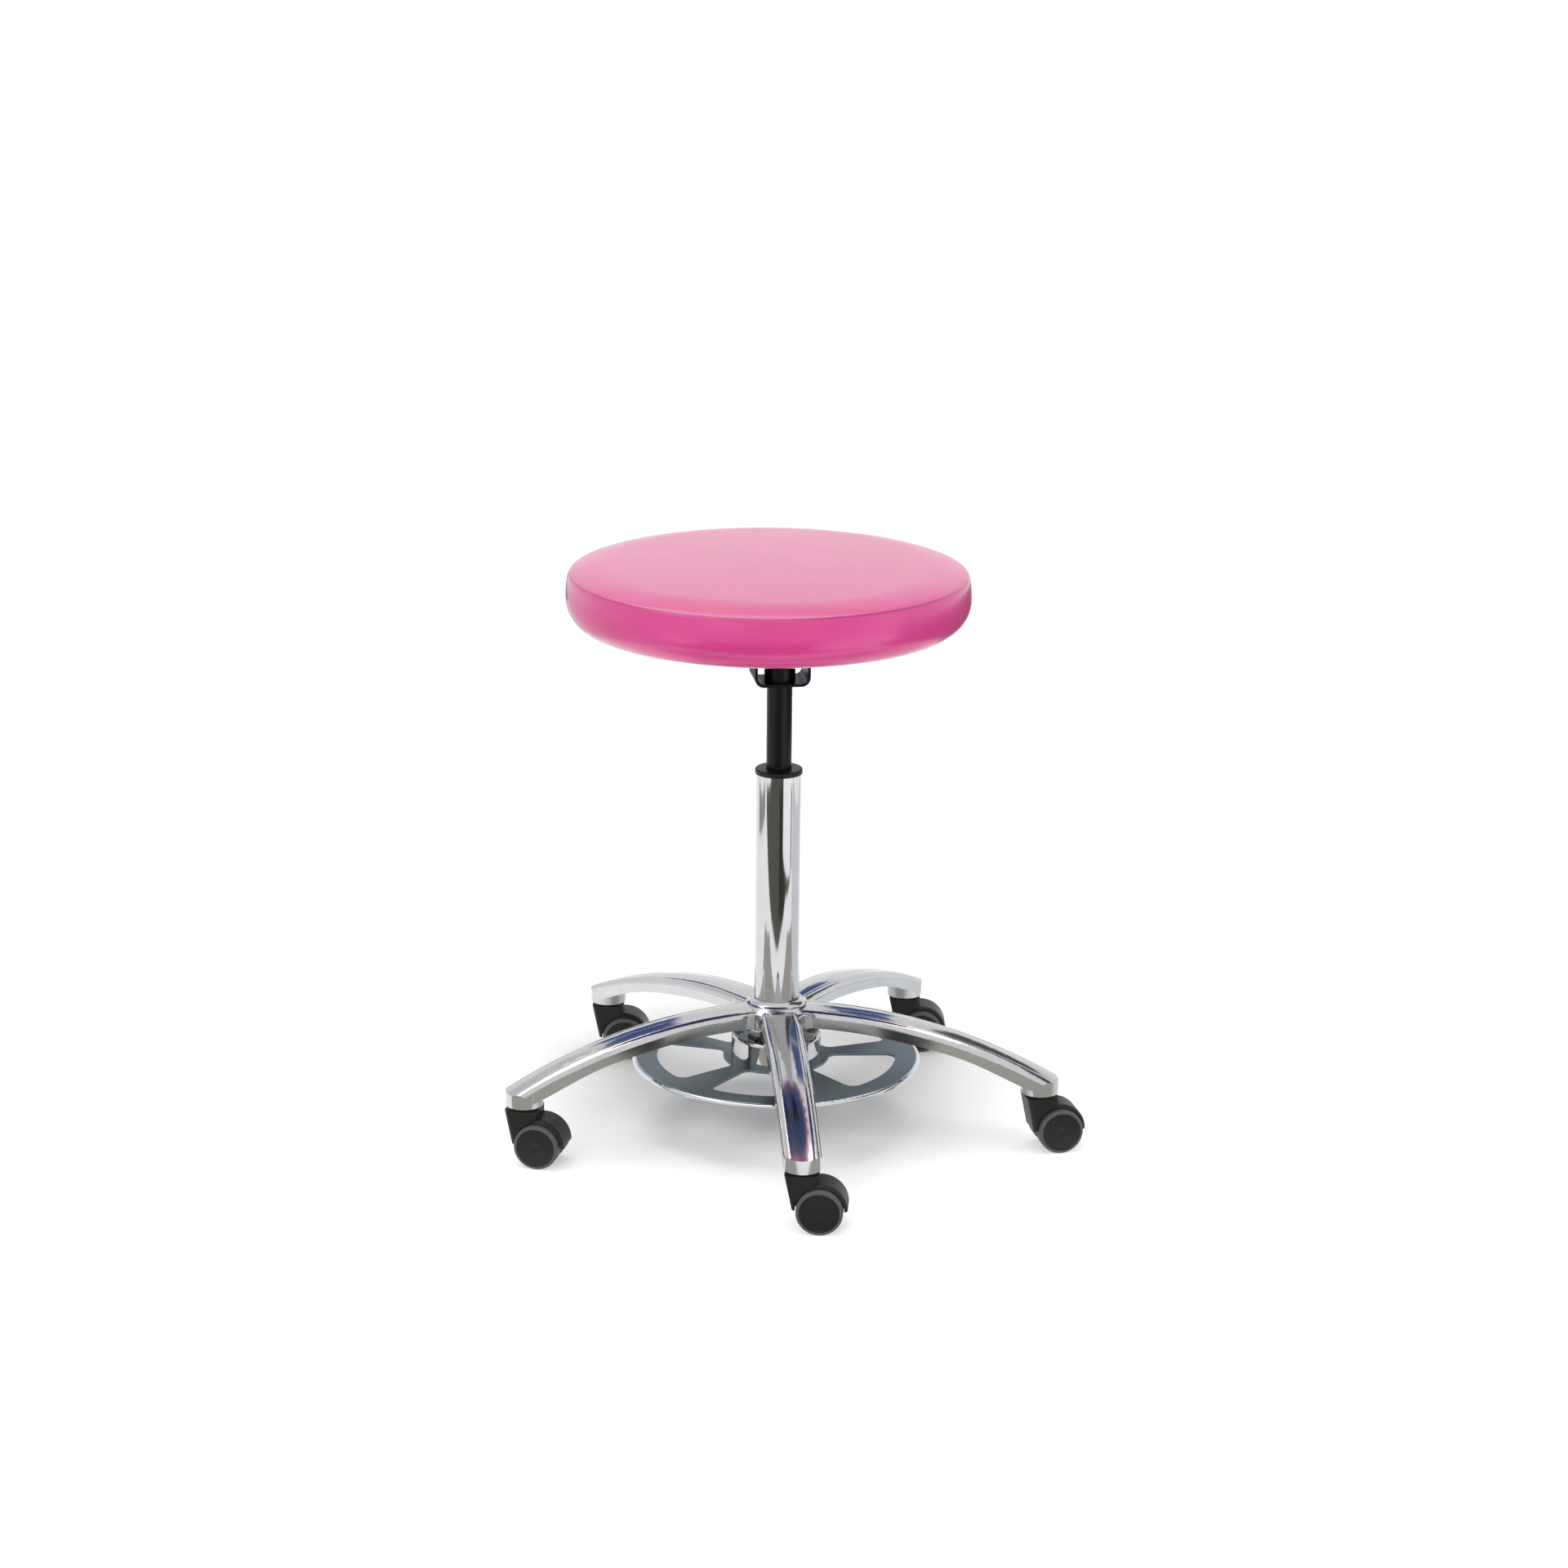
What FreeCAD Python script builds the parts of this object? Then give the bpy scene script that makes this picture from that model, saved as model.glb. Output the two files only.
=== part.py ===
import FreeCAD, Part
import math
import os
import Sketcher

# Operator stool: a round upholstered seat on a gas spring, a chromed column in a five-leg
# castor base, and a tilting foot disc under the hub that releases the height.
# Millimetres, +Z up. The origin is on the floor under the column, with one leg along -Y.

doc = FreeCAD.newDocument("operator_stool")
sheet = doc.addObject("Spreadsheet::Sheet", "Sizes")

DRIVING_SIZES = {
    # seat
    "seat_diameter": 439.6,
    "seat_base_inset": 18.8,
    "seat_seam_inset": 2.3,
    "seat_widest_height": 29,
    "seat_seam_height": 56,
    "seat_shoulder_inset": 21.8,
    "seat_shoulder_rise": 9.5,
    "seat_roll": 27,
    "seat_crown": 4.5,
    "seat_shift": 13,
    "cover_thickness": 1.2,
    "cover_hem": 22,
    "soft_gap": 0.3,
    "board_margin": 12,
    "board_thickness": 15,
    "lining_thickness": 0.8,
    # seat bracket
    "bracket_width": 61,
    "bracket_depth": 48,
    "bracket_height": 66,
    "bracket_sheet": 3,
    "bracket_bend": 7,
    "bracket_span": 168,
    "bracket_turn": 3,
    "bolt_span_across": 124,
    "bolt_span_along": 28,
    "bolt_diameter": 6,
    "bolt_head_diameter": 13,
    "bolt_head_height": 4.5,
    "bolt_grip": 9,
    "tee_nut_barrel": 8,
    "tee_nut_flange": 19,
    "tee_nut_sheet": 1.5,
    "socket_diameter": 34,
    "socket_length": 42,
    # gas spring
    "lift_gap": 97,
    "cylinder_diameter": 28,
    "cylinder_wall": 2,
    "cylinder_reach": 277,
    "cylinder_cap": 12,
    "cone_drop": 0.9,
    "guide_length": 24,
    "rod_diameter": 10,
    "rod_spigot": 8,
    "rod_bore": 3.4,
    "rod_tail": 8,
    "pin_diameter": 3,
    "pin_tail": 14,
    "piston_height": 20,
    "piston_place": 330,
    "seal_section": 3,
    # column
    "column_diameter": 50,
    "column_wall": 2,
    "column_top": 411,
    "collar_diameter": 52.5,
    "collar_height": 5.5,
    "collar_round": 2,
    "bush_length": 46,
    "plug_height": 12,
    "race_diameter": 26,
    "race_sheet": 2,
    "ball_diameter": 4,
    "ball_count": 10,
    "clip_diameter": 15,
    "clip_sheet": 1.5,
    # star base
    "leg_count": 5,
    "leg_reach": 299,
    "leg_root_width": 45,
    "leg_end_width": 40.2,
    "leg_depth": 20,
    "leg_wall": 3.5,
    "leg_rib": 3,
    "leg_arch_start": 50,
    "leg_end_top": 91,
    "crease_depth": 9,
    "crease_step": 0.8,
    "shoulder_width": 9,
    "crown_height": 1.4,
    "hub_top": 145,
    "hub_bottom": 116,
    "hub_diameter": 64,
    "hub_fillet": 14,
    "hub_collar_diameter": 55,
    "hub_collar_height": 7,
    "hub_cover": 1,
    "hub_flare": 9,
    "leg_parting": 2,
    "ledge_thickness": 4,
    "ledge_bore": 20,
    "boss_bottom": 66,
    "boss_proud": 0.4,
    "boss_trim": 0.05,
    # foot release
    "carrier_diameter": 84,
    "carrier_sheet": 6,
    "carrier_neck": 36,
    "carrier_bore": 18,
    "carrier_drop": 10,
    "carrier_screw": 5,
    "carrier_screw_circle": 27,
    "carrier_head_diameter": 8.5,
    "carrier_head_height": 5,
    "cup_diameter": 100,
    "cup_wall": 6,
    "cup_lip": 4,
    "cup_mouth": 48,
    "cup_round": 4,
    "cup_depth": 23,
    "disc_diameter": 322,
    "disc_sheet": 3,
    "disc_roll": 3.5,
    "disc_skirt": 0.5,
    "window_inner": 59,
    "window_outer": 133.5,
    "window_corner": 11,
    "spoke_angle": 18,
    "window_turn": 258,
    "disc_screw": 4,
    "disc_screw_head": 7.5,
    "disc_screw_length": 12,
    "stud_diameter": 8,
    "stud_foot": 22,
    "pin_gap": 0.3,
    # castors
    "stem_diameter": 11,
    "stem_length": 19,
    "stem_collar": 16,
    "stem_collar_height": 2.4,
    "spigot_diameter": 8,
    "spigot_length": 15,
    "grip_height": 4,
    "grip_depth": 1,
    "wheel_diameter": 50,
    "wheel_width": 19,
    "wheel_face": 43,
    "tyre_round": 3,
    "castor_trail": 19.5,
    "hood_width": 38,
    "hood_wall": 3.5,
    "hood_neck": 36,
    "hood_nose": 29.5,
    "hood_round": 5,
    "hood_web": 11,
    "web_diameter": 22,
    "axle_diameter": 6,
    "axle_length": 46,
    # fits
    "running_gap": 0.05,
    "wheel_room": 1,
    "side_gap": 0.6,
    "swivel_gap": 0.3,
}

# Where each castor trails, in degrees, starting with the front leg and going anticlockwise.
CASTOR_TURNS = (-9, 7, -5, -6, -19)

FULL_TURN = 360


class Size:
    """A length or angle together with the formula that gives it from the sheet."""

    def __init__(self, value, formula):
        self.value = float(value)
        self.formula = formula

    def joined(self, sign, other, value):
        return Size(value, f"({self.formula} {sign} {other.formula})")

    def __add__(self, other):
        other = sized(other)
        return self.joined("+", other, self.value + other.value)

    def __radd__(self, other):
        return sized(other) + self

    def __sub__(self, other):
        other = sized(other)
        return self.joined("-", other, self.value - other.value)

    def __rsub__(self, other):
        return sized(other) - self

    def __mul__(self, other):
        other = sized(other)
        return self.joined("*", other, self.value * other.value)

    def __rmul__(self, other):
        return sized(other) * self

    def __truediv__(self, other):
        other = sized(other)
        return self.joined("/", other, self.value / other.value)

    def __rtruediv__(self, other):
        return sized(other) / self

    def __neg__(self):
        return Size(-self.value, f"(-{self.formula})")


def sized(number):
    return number if isinstance(number, Size) else Size(number, f"{number:g}")


def root(size):
    return Size(math.sqrt(size.value), f"sqrt({size.formula})")


def cosine(angle):
    return Size(math.cos(math.radians(angle.value)), f"cos({angle.formula})")


def sine(angle):
    return Size(math.sin(math.radians(angle.value)), f"sin({angle.formula})")


def size(name):
    return Size(sheet.get(name), f"Sizes.{name}")


for line, (name, number) in enumerate(DRIVING_SIZES.items(), start=1):
    sheet.set(f"A{line}", name)
    sheet.set(f"B{line}", str(number))
    sheet.setAlias(f"B{line}", name)
doc.recompute()

pieces = []


def piece(label, group=False):
    """A new sub-part; a group holds several separate solids of one kind."""
    body = doc.addObject("PartDesign::Body", label)
    body.Label = label
    body.AllowCompound = group
    pieces.append(body)
    return body


def origin_part(body, role):
    return next(feature for feature in body.Origin.OriginFeatures if feature.Role == role)


def new_sketch(body, plane, offset):
    sketch = body.newObject("Sketcher::SketchObject", "Outline")
    sketch.AttachmentSupport = [(origin_part(body, plane), "")]
    sketch.MapMode = "FlatFace"
    if offset is not None:
        shift = FreeCAD.Vector(0, 0, offset.value)
        sketch.AttachmentOffset = FreeCAD.Placement(shift, FreeCAD.Rotation())
        sketch.setExpression("AttachmentOffset.Base.z", offset.formula)
    return sketch


def bind(sketch, constraint, formula):
    number = sketch.addConstraint(constraint)
    sketch.setExpression(f"Constraints[{number}]", formula)


def fix_point(sketch, geometry, end, x, y):
    """Hold a point at its distance from the sketch's origin, or on the axis where that is zero."""
    for kind, axis, distance in (("DistanceX", -2, x), ("DistanceY", -1, y)):
        if distance.formula == "0":
            sketch.addConstraint(Sketcher.Constraint("PointOnObject", geometry, end, axis))
        else:
            held = Sketcher.Constraint(kind, -1, 1, geometry, end, distance.value)
            bind(sketch, held, distance.formula)


def arc_edge(start, end, bend):
    """The short arc between two points, turning left where bend is positive."""
    chord = end - start
    rise = math.sqrt(max(bend * bend - chord.Length**2 / 4, 0))
    left = FreeCAD.Vector(-chord.y, chord.x, 0).normalize()
    centre = (start + end) / 2 + left * math.copysign(rise, bend)
    first, last = (start, end) if bend > 0 else (end, start)
    angles = [math.atan2(point.y - centre.y, point.x - centre.x) for point in (first, last)]
    if angles[1] < angles[0]:
        angles[1] += 2 * math.pi
    circle = Part.Circle(centre, FreeCAD.Vector(0, 0, 1), abs(bend))
    return Part.ArcOfCircle(circle, *angles)


def draw(body, corners, plane="XZ_Plane", offset=None):
    """A closed outline. A corner is (x, y), or (x, y, bend) where an arc of that radius runs on
    to the next corner."""
    sketch = new_sketch(body, plane, offset)
    corners = [tuple(sized(number) for number in corner) for corner in corners]
    points = [FreeCAD.Vector(corner[0].value, corner[1].value, 0) for corner in corners]
    ends = []
    for index, corner in enumerate(corners):
        start = points[index]
        end = points[(index + 1) % len(points)]
        if len(corner) == 3:
            sketch.addGeometry(arc_edge(start, end, corner[2].value))
            ends.append((1, 2) if corner[2].value > 0 else (2, 1))
        else:
            sketch.addGeometry(Part.LineSegment(start, end))
            ends.append((1, 2))
    for index, corner in enumerate(corners):
        following = (index + 1) % len(corners)
        joint = Sketcher.Constraint(
            "Coincident", index, ends[index][1], following, ends[following][0]
        )
        sketch.addConstraint(joint)
        fix_point(sketch, index, ends[index][0], corner[0], corner[1])
        if len(corner) == 3:
            bend = corner[2] if corner[2].value > 0 else -corner[2]
            bind(sketch, Sketcher.Constraint("Radius", index, bend.value), bend.formula)
    return sketch


def draw_circles(body, circles, plane="XZ_Plane", offset=None):
    """One or more circles, each given as (x, y, radius)."""
    sketch = new_sketch(body, plane, offset)
    for index, circle in enumerate(circles):
        x, y, radius = (sized(number) for number in circle)
        centre = FreeCAD.Vector(x.value, y.value, 0)
        sketch.addGeometry(Part.Circle(centre, FreeCAD.Vector(0, 0, 1), radius.value))
        fix_point(sketch, index, 3, x, y)
        bind(sketch, Sketcher.Constraint("Radius", index, radius.value), radius.formula)
    return sketch


def turn(body, corners, plane="XZ_Plane", offset=None, cut=False, angle=FULL_TURN):
    """Turn an outline of (radius, height) about the upright axis of its sketch."""
    sketch = draw(body, corners, plane, offset)
    kind = "PartDesign::Groove" if cut else "PartDesign::Revolution"
    feature = body.newObject(kind, "Turned")
    feature.Profile = sketch
    feature.ReferenceAxis = (sketch, ["V_Axis"])
    feature.Angle = angle
    return feature


def pad(body, sketch, length):
    """Thicken a sketch by the same amount to both sides."""
    feature = body.newObject("PartDesign::Pad", "Pad")
    feature.Profile = sketch
    feature.SideType = "Symmetric"
    feature.setExpression("Length", length.formula)
    return feature


def pocket(body, sketch, length):
    """Cut a sketch by the same amount to both sides."""
    feature = body.newObject("PartDesign::Pocket", "Pocket")
    feature.Profile = sketch
    feature.SideType = "Symmetric"
    feature.setExpression("Length", length.formula)
    return feature


def loft(body, sketches, cut=False):
    kind = "PartDesign::SubtractiveLoft" if cut else "PartDesign::AdditiveLoft"
    feature = body.newObject(kind, "Loft")
    feature.Profile = sketches[0]
    feature.Sections = sketches[1:]
    return feature


def ring_of(body, features, count):
    """Repeat features evenly round the upright axis."""
    pattern = body.newObject("PartDesign::PolarPattern", "Ring")
    pattern.Originals = features
    pattern.Axis = (origin_part(body, "Z_Axis"), [""])
    pattern.Angle = FULL_TURN
    pattern.setExpression("Occurrences", count.formula)
    body.Tip = pattern
    return pattern


def at(x=0, y=0, z=0, turned=0):
    """A place, with a turn about the upright axis."""
    upright = FreeCAD.Vector(0, 0, 1)
    return FreeCAD.Placement(FreeCAD.Vector(x, y, z), FreeCAD.Rotation(upright, turned))


def tube_outline(inner, outer, low, high):
    return [(inner, low), (outer, low), (outer, high), (inner, high)]


# Heights and radii that several pieces share, from the floor up.
FRONT_LEG = -90
running_gap = size("running_gap")
soft_gap = size("soft_gap")
leg_count = size("leg_count")
leg_pitch = FULL_TURN / leg_count
column_radius = size("column_diameter") / 2
column_bore = column_radius - size("column_wall")
column_foot = size("hub_bottom") + size("ledge_thickness")
plug_top = column_foot + size("plug_height")
lower_race_top = plug_top + size("race_sheet")
rod_radius = size("rod_diameter") / 2
spigot_radius = size("rod_spigot") / 2
rod_foot = size("hub_bottom") - size("rod_tail")
pin_radius = size("pin_diameter") / 2
pin_low = rod_foot - size("pin_tail")
cylinder_radius = size("cylinder_diameter") / 2
cylinder_bore = cylinder_radius - size("cylinder_wall")
collar_top = size("column_top") + size("collar_height")
bracket_low = collar_top + size("lift_gap")
bracket_top = bracket_low + size("bracket_height")
board_low = bracket_top + size("lining_thickness")
board_top = board_low + size("board_thickness")
cover_low = board_low - size("cover_thickness")
cylinder_low = bracket_low - size("cylinder_reach")
socket_top = bracket_low + size("socket_length")
flange_top = size("hub_bottom") - size("carrier_drop")
flange_low = flange_top - size("carrier_sheet")
disc_top = flange_top - size("cup_depth")
disc_low = disc_top - size("disc_sheet")
cup_top = flange_top + size("cup_lip")
axle_height = size("wheel_diameter") / 2
collar_low = size("boss_bottom") - size("stem_collar_height")
hood_top = collar_low - size("swivel_gap")


# Star base: one casting with five arched, hollow legs that run out to the castor bosses.

leg_reach = size("leg_reach")
ridge = size("hub_top")
arch_start = size("leg_arch_start")
arch_run = leg_reach - arch_start
arch_drop = ridge - size("leg_end_top")
arch_radius = (arch_run * arch_run + arch_drop * arch_drop) / (2 * arch_drop)


def leg_top(reach):
    """Height of the leg's ridge, which leaves the hub level and arches down to the castor."""
    run = reach - arch_start
    return ridge - arch_radius + root(arch_radius * arch_radius - run * run)


def leg_half_width(reach):
    start_half = size("leg_root_width") / 2
    end_half = size("leg_end_width") / 2
    return start_half - (start_half - end_half) * reach / leg_reach


def shoulder_arc(drop, width):
    """Radius of the shoulder that starts upright at the crease and ends at the crown."""
    return (width * width + drop * drop) / (2 * width)


def leg_section(half, top, low):
    """Upright skirt, a crease along each side, round shoulders and a slightly crowned ridge."""
    crease = top - size("crease_depth")
    inner = half - size("crease_step")
    shoulder = inner - size("shoulder_width")
    crown = size("crown_height")
    drop = size("crease_depth") - crown
    round_side = shoulder_arc(drop, size("shoulder_width"))
    crown_arc = (shoulder * shoulder + crown * crown) / (2 * crown)
    return [
        (-half, low),
        (half, low),
        (half, crease),
        (inner, crease, round_side),
        (shoulder, top - crown, crown_arc),
        (-shoulder, top - crown, round_side),
        (-inner, crease),
        (-half, crease),
    ]


def channel_section(half, top, side):
    """Half of the hollow under a leg, on one side of the rib along its middle."""
    wall = size("leg_wall")
    outer = side * (half - wall)
    inner = side * size("leg_rib") / 2
    low = top - size("leg_depth") - wall
    return [
        (inner, low),
        (outer, low),
        (outer, top - size("crease_depth") - wall),
        (side * (half - size("shoulder_width")), top - size("crown_height") - wall),
        (inner, top - size("crown_height") - wall),
    ]


stem_radius = size("stem_diameter") / 2
bore_top = size("boss_bottom") + size("stem_length") + size("grip_depth")
ARCH_PARTS = 4
arch_places = [arch_start + arch_run * part / ARCH_PARTS for part in range(1, ARCH_PARTS + 1)]
root_half = size("leg_root_width") / 2
half_pitch = leg_pitch / 2
leg_start = root_half * cosine(half_pitch) / sine(half_pitch) + size("leg_parting")
boss_radius = size("leg_end_width") / 2 + size("boss_proud")
boss_end = leg_reach + boss_radius
boss_top = leg_top(boss_end) - size("crease_depth")
leg_tip = boss_end + size("leg_parting")
leg_tip_low = boss_top - size("leg_wall")
web_low = ridge - size("leg_depth")
stations = [(leg_start, ridge, web_low), (arch_start, ridge, web_low)]
stations += [(reach, leg_top(reach), leg_top(reach) - size("leg_depth")) for reach in arch_places]
stations += [(leg_tip, leg_top(leg_tip), leg_tip_low)]

star_base = piece("star_base")
hub_radius = size("hub_diameter") / 2
hub_collar = size("hub_collar_diameter") / 2
hub_collar_top = ridge + size("hub_collar_height")
hub_neck = leg_start + size("hub_cover")
hub_neck_top = ridge + size("hub_cover")
hub_rim = root(leg_start * leg_start + root_half * root_half) + size("leg_parting")
web_top = ridge - size("crease_depth") / 2
turn(
    star_base,
    [
        (0, size("hub_bottom")),
        (hub_radius, size("hub_bottom")),
        (hub_radius, web_low),
        (hub_rim, web_low),
        (hub_rim, hub_neck_top - (hub_rim - hub_neck)),
        (hub_neck, hub_neck_top, -size("hub_flare")),
        (hub_collar, hub_collar_top),
        (0, hub_collar_top),
    ],
)
leg_sketches = [
    draw(star_base, leg_section(leg_half_width(reach), top, low), "YZ_Plane", reach)
    for reach, top, low in stations
]
leg = loft(star_base, leg_sketches)
# The leg runs on past the castor's axis, and its tip is cut round, in line with the boss under it.
trim_radius = boss_radius - size("boss_trim")
tip_cut = turn(
    star_base,
    tube_outline(-trim_radius, -2 * boss_radius, size("boss_bottom") / 2, ridge),
    "YZ_Plane",
    leg_reach,
    cut=True,
    angle=FULL_TURN / 2,
)
boss = turn(
    star_base, tube_outline(0, boss_radius, size("boss_bottom"), boss_top), "YZ_Plane", leg_reach
)
# On the hub's side the boss goes on up into the leg, whose underside is higher there.
boss_back = turn(
    star_base,
    tube_outline(0, boss_radius, size("boss_bottom"), size("leg_end_top") - size("crease_depth")),
    "YZ_Plane",
    leg_reach,
    angle=FULL_TURN / 2,
)
ring_of(star_base, [leg, tip_cut, boss, boss_back], leg_count)

# Concave web between neighbouring legs, where they run into the hub.
web_half = root_half - size("crease_step")
web_reach = (web_half + size("hub_fillet")) / sine(half_pitch) * cosine(half_pitch)
across = (
    web_reach * cosine(leg_pitch) + web_half * sine(leg_pitch),
    web_reach * sine(leg_pitch) - web_half * cosine(leg_pitch),
)
web_sketch = draw(
    star_base,
    [(0, 0), (web_reach, web_half, -size("hub_fillet")), across],
    "XY_Plane",
    (web_low + web_top) / 2,
)
web = pad(star_base, web_sketch, web_top - web_low)
ring_of(star_base, [web], leg_count)

channel_end = leg_reach - boss_radius - size("leg_wall")
channel_places = [arch_start] + arch_places[:-1] + [channel_end]
channel_stations = [(reach, leg_top(reach)) for reach in channel_places]
channels = []
for side in (-1, 1):
    channel_sketches = [
        draw(star_base, channel_section(leg_half_width(reach), top, side), "YZ_Plane", reach)
        for reach, top in channel_stations
    ]
    channels.append(loft(star_base, channel_sketches, cut=True))
stem_bore = turn(
    star_base,
    tube_outline(0, stem_radius + running_gap, size("boss_bottom") - stem_radius, bore_top),
    "YZ_Plane",
    leg_reach,
    cut=True,
)
ring_of(star_base, channels + [stem_bore], leg_count)

# The column stands on the ledge at the bottom of the hub's bore, which the screws pass through.
screw_circle = size("carrier_screw_circle") / 2
screw_radius = size("carrier_screw") / 2
ledge_hole = size("ledge_bore") / 2
turn(
    star_base,
    [
        (0, size("hub_bottom") - stem_radius),
        (ledge_hole, size("hub_bottom") - stem_radius),
        (ledge_hole, column_foot),
        (column_radius + running_gap, column_foot),
        (column_radius + running_gap, hub_collar_top + stem_radius),
        (0, hub_collar_top + stem_radius),
    ],
    cut=True,
)
SCREW_COUNT = sized(3)
ledge_cut = turn(
    star_base,
    tube_outline(0, screw_radius + running_gap, size("hub_bottom") - screw_radius, plug_top),
    "YZ_Plane",
    screw_circle,
    cut=True,
)
ring_of(star_base, [ledge_cut], SCREW_COUNT)
star_base.Placement = at(turned=FRONT_LEG)


# Column: chromed tube, its steel foot plug and the guide bush in its mouth.

column_tube = piece("column_tube")
turn(column_tube, tube_outline(column_bore, column_radius, column_foot, size("column_top")))

column_plug = piece("column_plug")
plug_radius = column_bore - running_gap
turn(column_plug, tube_outline(spigot_radius + running_gap, plug_radius, column_foot, plug_top))
plug_cut = turn(
    column_plug,
    tube_outline(0, screw_radius + running_gap, column_foot - screw_radius, plug_top + screw_radius),
    "YZ_Plane",
    screw_circle,
    cut=True,
)
ring_of(column_plug, [plug_cut], SCREW_COUNT)
column_plug.Placement = at(turned=FRONT_LEG)

guide_bush = piece("guide_bush")
collar_radius = size("collar_diameter") / 2
collar_round = size("collar_round")
bush_bore = cylinder_radius + running_gap
bush_low = size("column_top") - size("bush_length")
turn(
    guide_bush,
    [
        (bush_bore, bush_low),
        (column_bore - running_gap, bush_low),
        (column_bore - running_gap, size("column_top")),
        (collar_radius, size("column_top")),
        (collar_radius, collar_top - collar_round, collar_round),
        (collar_radius - collar_round, collar_top),
        (bush_bore, collar_top),
    ],
)


# Thrust bearing under the piston rod: two grooved races with balls between them.

def race(label, low, groove_height):
    body = piece(label)
    outer = size("race_diameter") / 2
    inner = spigot_radius + running_gap
    turn(body, tube_outline(inner, outer, low, low + size("race_sheet")))
    groove_radius = size("ball_diameter") / 2 + running_gap
    track = (outer + inner) / 2
    sketch = draw_circles(body, [(track, groove_height, groove_radius)])
    groove = body.newObject("PartDesign::Groove", "Track")
    groove.Profile = sketch
    groove.ReferenceAxis = (sketch, ["V_Axis"])
    groove.Angle = FULL_TURN
    return track


ball_radius = size("ball_diameter") / 2
race_bite = size("race_sheet") / 4
ball_height = lower_race_top + ball_radius - race_bite
upper_race_low = lower_race_top + size("ball_diameter") - 2 * race_bite
upper_race_top = upper_race_low + size("race_sheet")
ball_track = race("lower_race", plug_top, ball_height)
race("upper_race", upper_race_low, ball_height)

bearing_balls = piece("bearing_balls", group=True)
ball = turn(
    bearing_balls,
    [
        (0, ball_height - ball_radius, ball_radius),
        (ball_radius, ball_height, ball_radius),
        (0, ball_height + ball_radius),
    ],
    "YZ_Plane",
    ball_track,
)
ring_of(bearing_balls, [ball], size("ball_count"))


# Gas spring: the hollow rod stands on the bearing, and the cylinder slides on it and lifts the seat.

piston_low = size("piston_place")
piston_top = piston_low + size("piston_height")
clip_top = column_foot - running_gap
clip_low = clip_top - size("clip_sheet")
rod_bore = size("rod_bore") / 2
clip_seat = spigot_radius - size("clip_sheet") / 2
rod_neck = (rod_radius + rod_bore) / 2

piston_rod = piece("piston_rod")
turn(
    piston_rod,
    [
        (rod_bore, rod_foot),
        (spigot_radius, rod_foot),
        (spigot_radius, clip_low),
        (clip_seat, clip_low),
        (clip_seat, clip_top),
        (spigot_radius, clip_top),
        (spigot_radius, upper_race_top),
        (rod_radius, upper_race_top),
        (rod_radius, piston_low),
        (rod_neck, piston_low),
        (rod_neck, piston_top),
        (rod_bore, piston_top),
    ],
)

rod_clip = piece("rod_clip")
turn(rod_clip, tube_outline(clip_seat, size("clip_diameter") / 2, clip_low, clip_top))

piston = piece("piston")
piston_radius = cylinder_bore - 2 * running_gap
seal_half = size("seal_section") / 2
piston_middle = (piston_low + piston_top) / 2
seal_bed = piston_radius - size("seal_section")
turn(
    piston,
    [
        (rod_neck, piston_low),
        (piston_radius, piston_low),
        (piston_radius, piston_middle - seal_half),
        (seal_bed, piston_middle - seal_half),
        (seal_bed, piston_middle + seal_half),
        (piston_radius, piston_middle + seal_half),
        (piston_radius, piston_top),
        (rod_neck, piston_top),
    ],
)

piston_seal = piece("piston_seal")
seal_outer = cylinder_bore - running_gap
turn(
    piston_seal,
    tube_outline(seal_bed, seal_outer, piston_middle - seal_half, piston_middle + seal_half),
)

release_pin = piece("release_pin")
pin_round = pin_radius / 2
pin_top = piston_top - size("pin_tail") / 2
turn(
    release_pin,
    [
        (0, pin_low),
        (pin_radius - pin_round, pin_low, pin_round),
        (pin_radius, pin_low + pin_round),
        (pin_radius, pin_top),
        (0, pin_top),
    ],
)

gas_cylinder = piece("gas_cylinder")
cone_top = cylinder_radius - size("cone_drop")
cap_low = socket_top - size("cylinder_cap")
turn(
    gas_cylinder,
    [
        (cylinder_bore, cylinder_low),
        (cylinder_radius, cylinder_low),
        (cylinder_radius, bracket_low),
        (cone_top, socket_top),
        (0, socket_top),
        (0, cap_low),
        (cylinder_bore - size("cone_drop"), cap_low),
        (cylinder_bore, bracket_low),
    ],
)

rod_guide = piece("rod_guide")
turn(
    rod_guide,
    tube_outline(
        rod_radius + running_gap,
        cylinder_bore - running_gap,
        cylinder_low,
        cylinder_low + size("guide_length"),
    ),
)


# Seat bracket: a bent steel strap with turned-out ears, and the cone socket welded through its web.

bracket_turn = size("bracket_turn").value
bracket_socket = piece("bracket_socket")
turn(
    bracket_socket,
    [
        (cylinder_radius + running_gap, bracket_low),
        (size("socket_diameter") / 2, bracket_low),
        (size("socket_diameter") / 2, socket_top),
        (cone_top + running_gap, socket_top),
    ],
)

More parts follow.
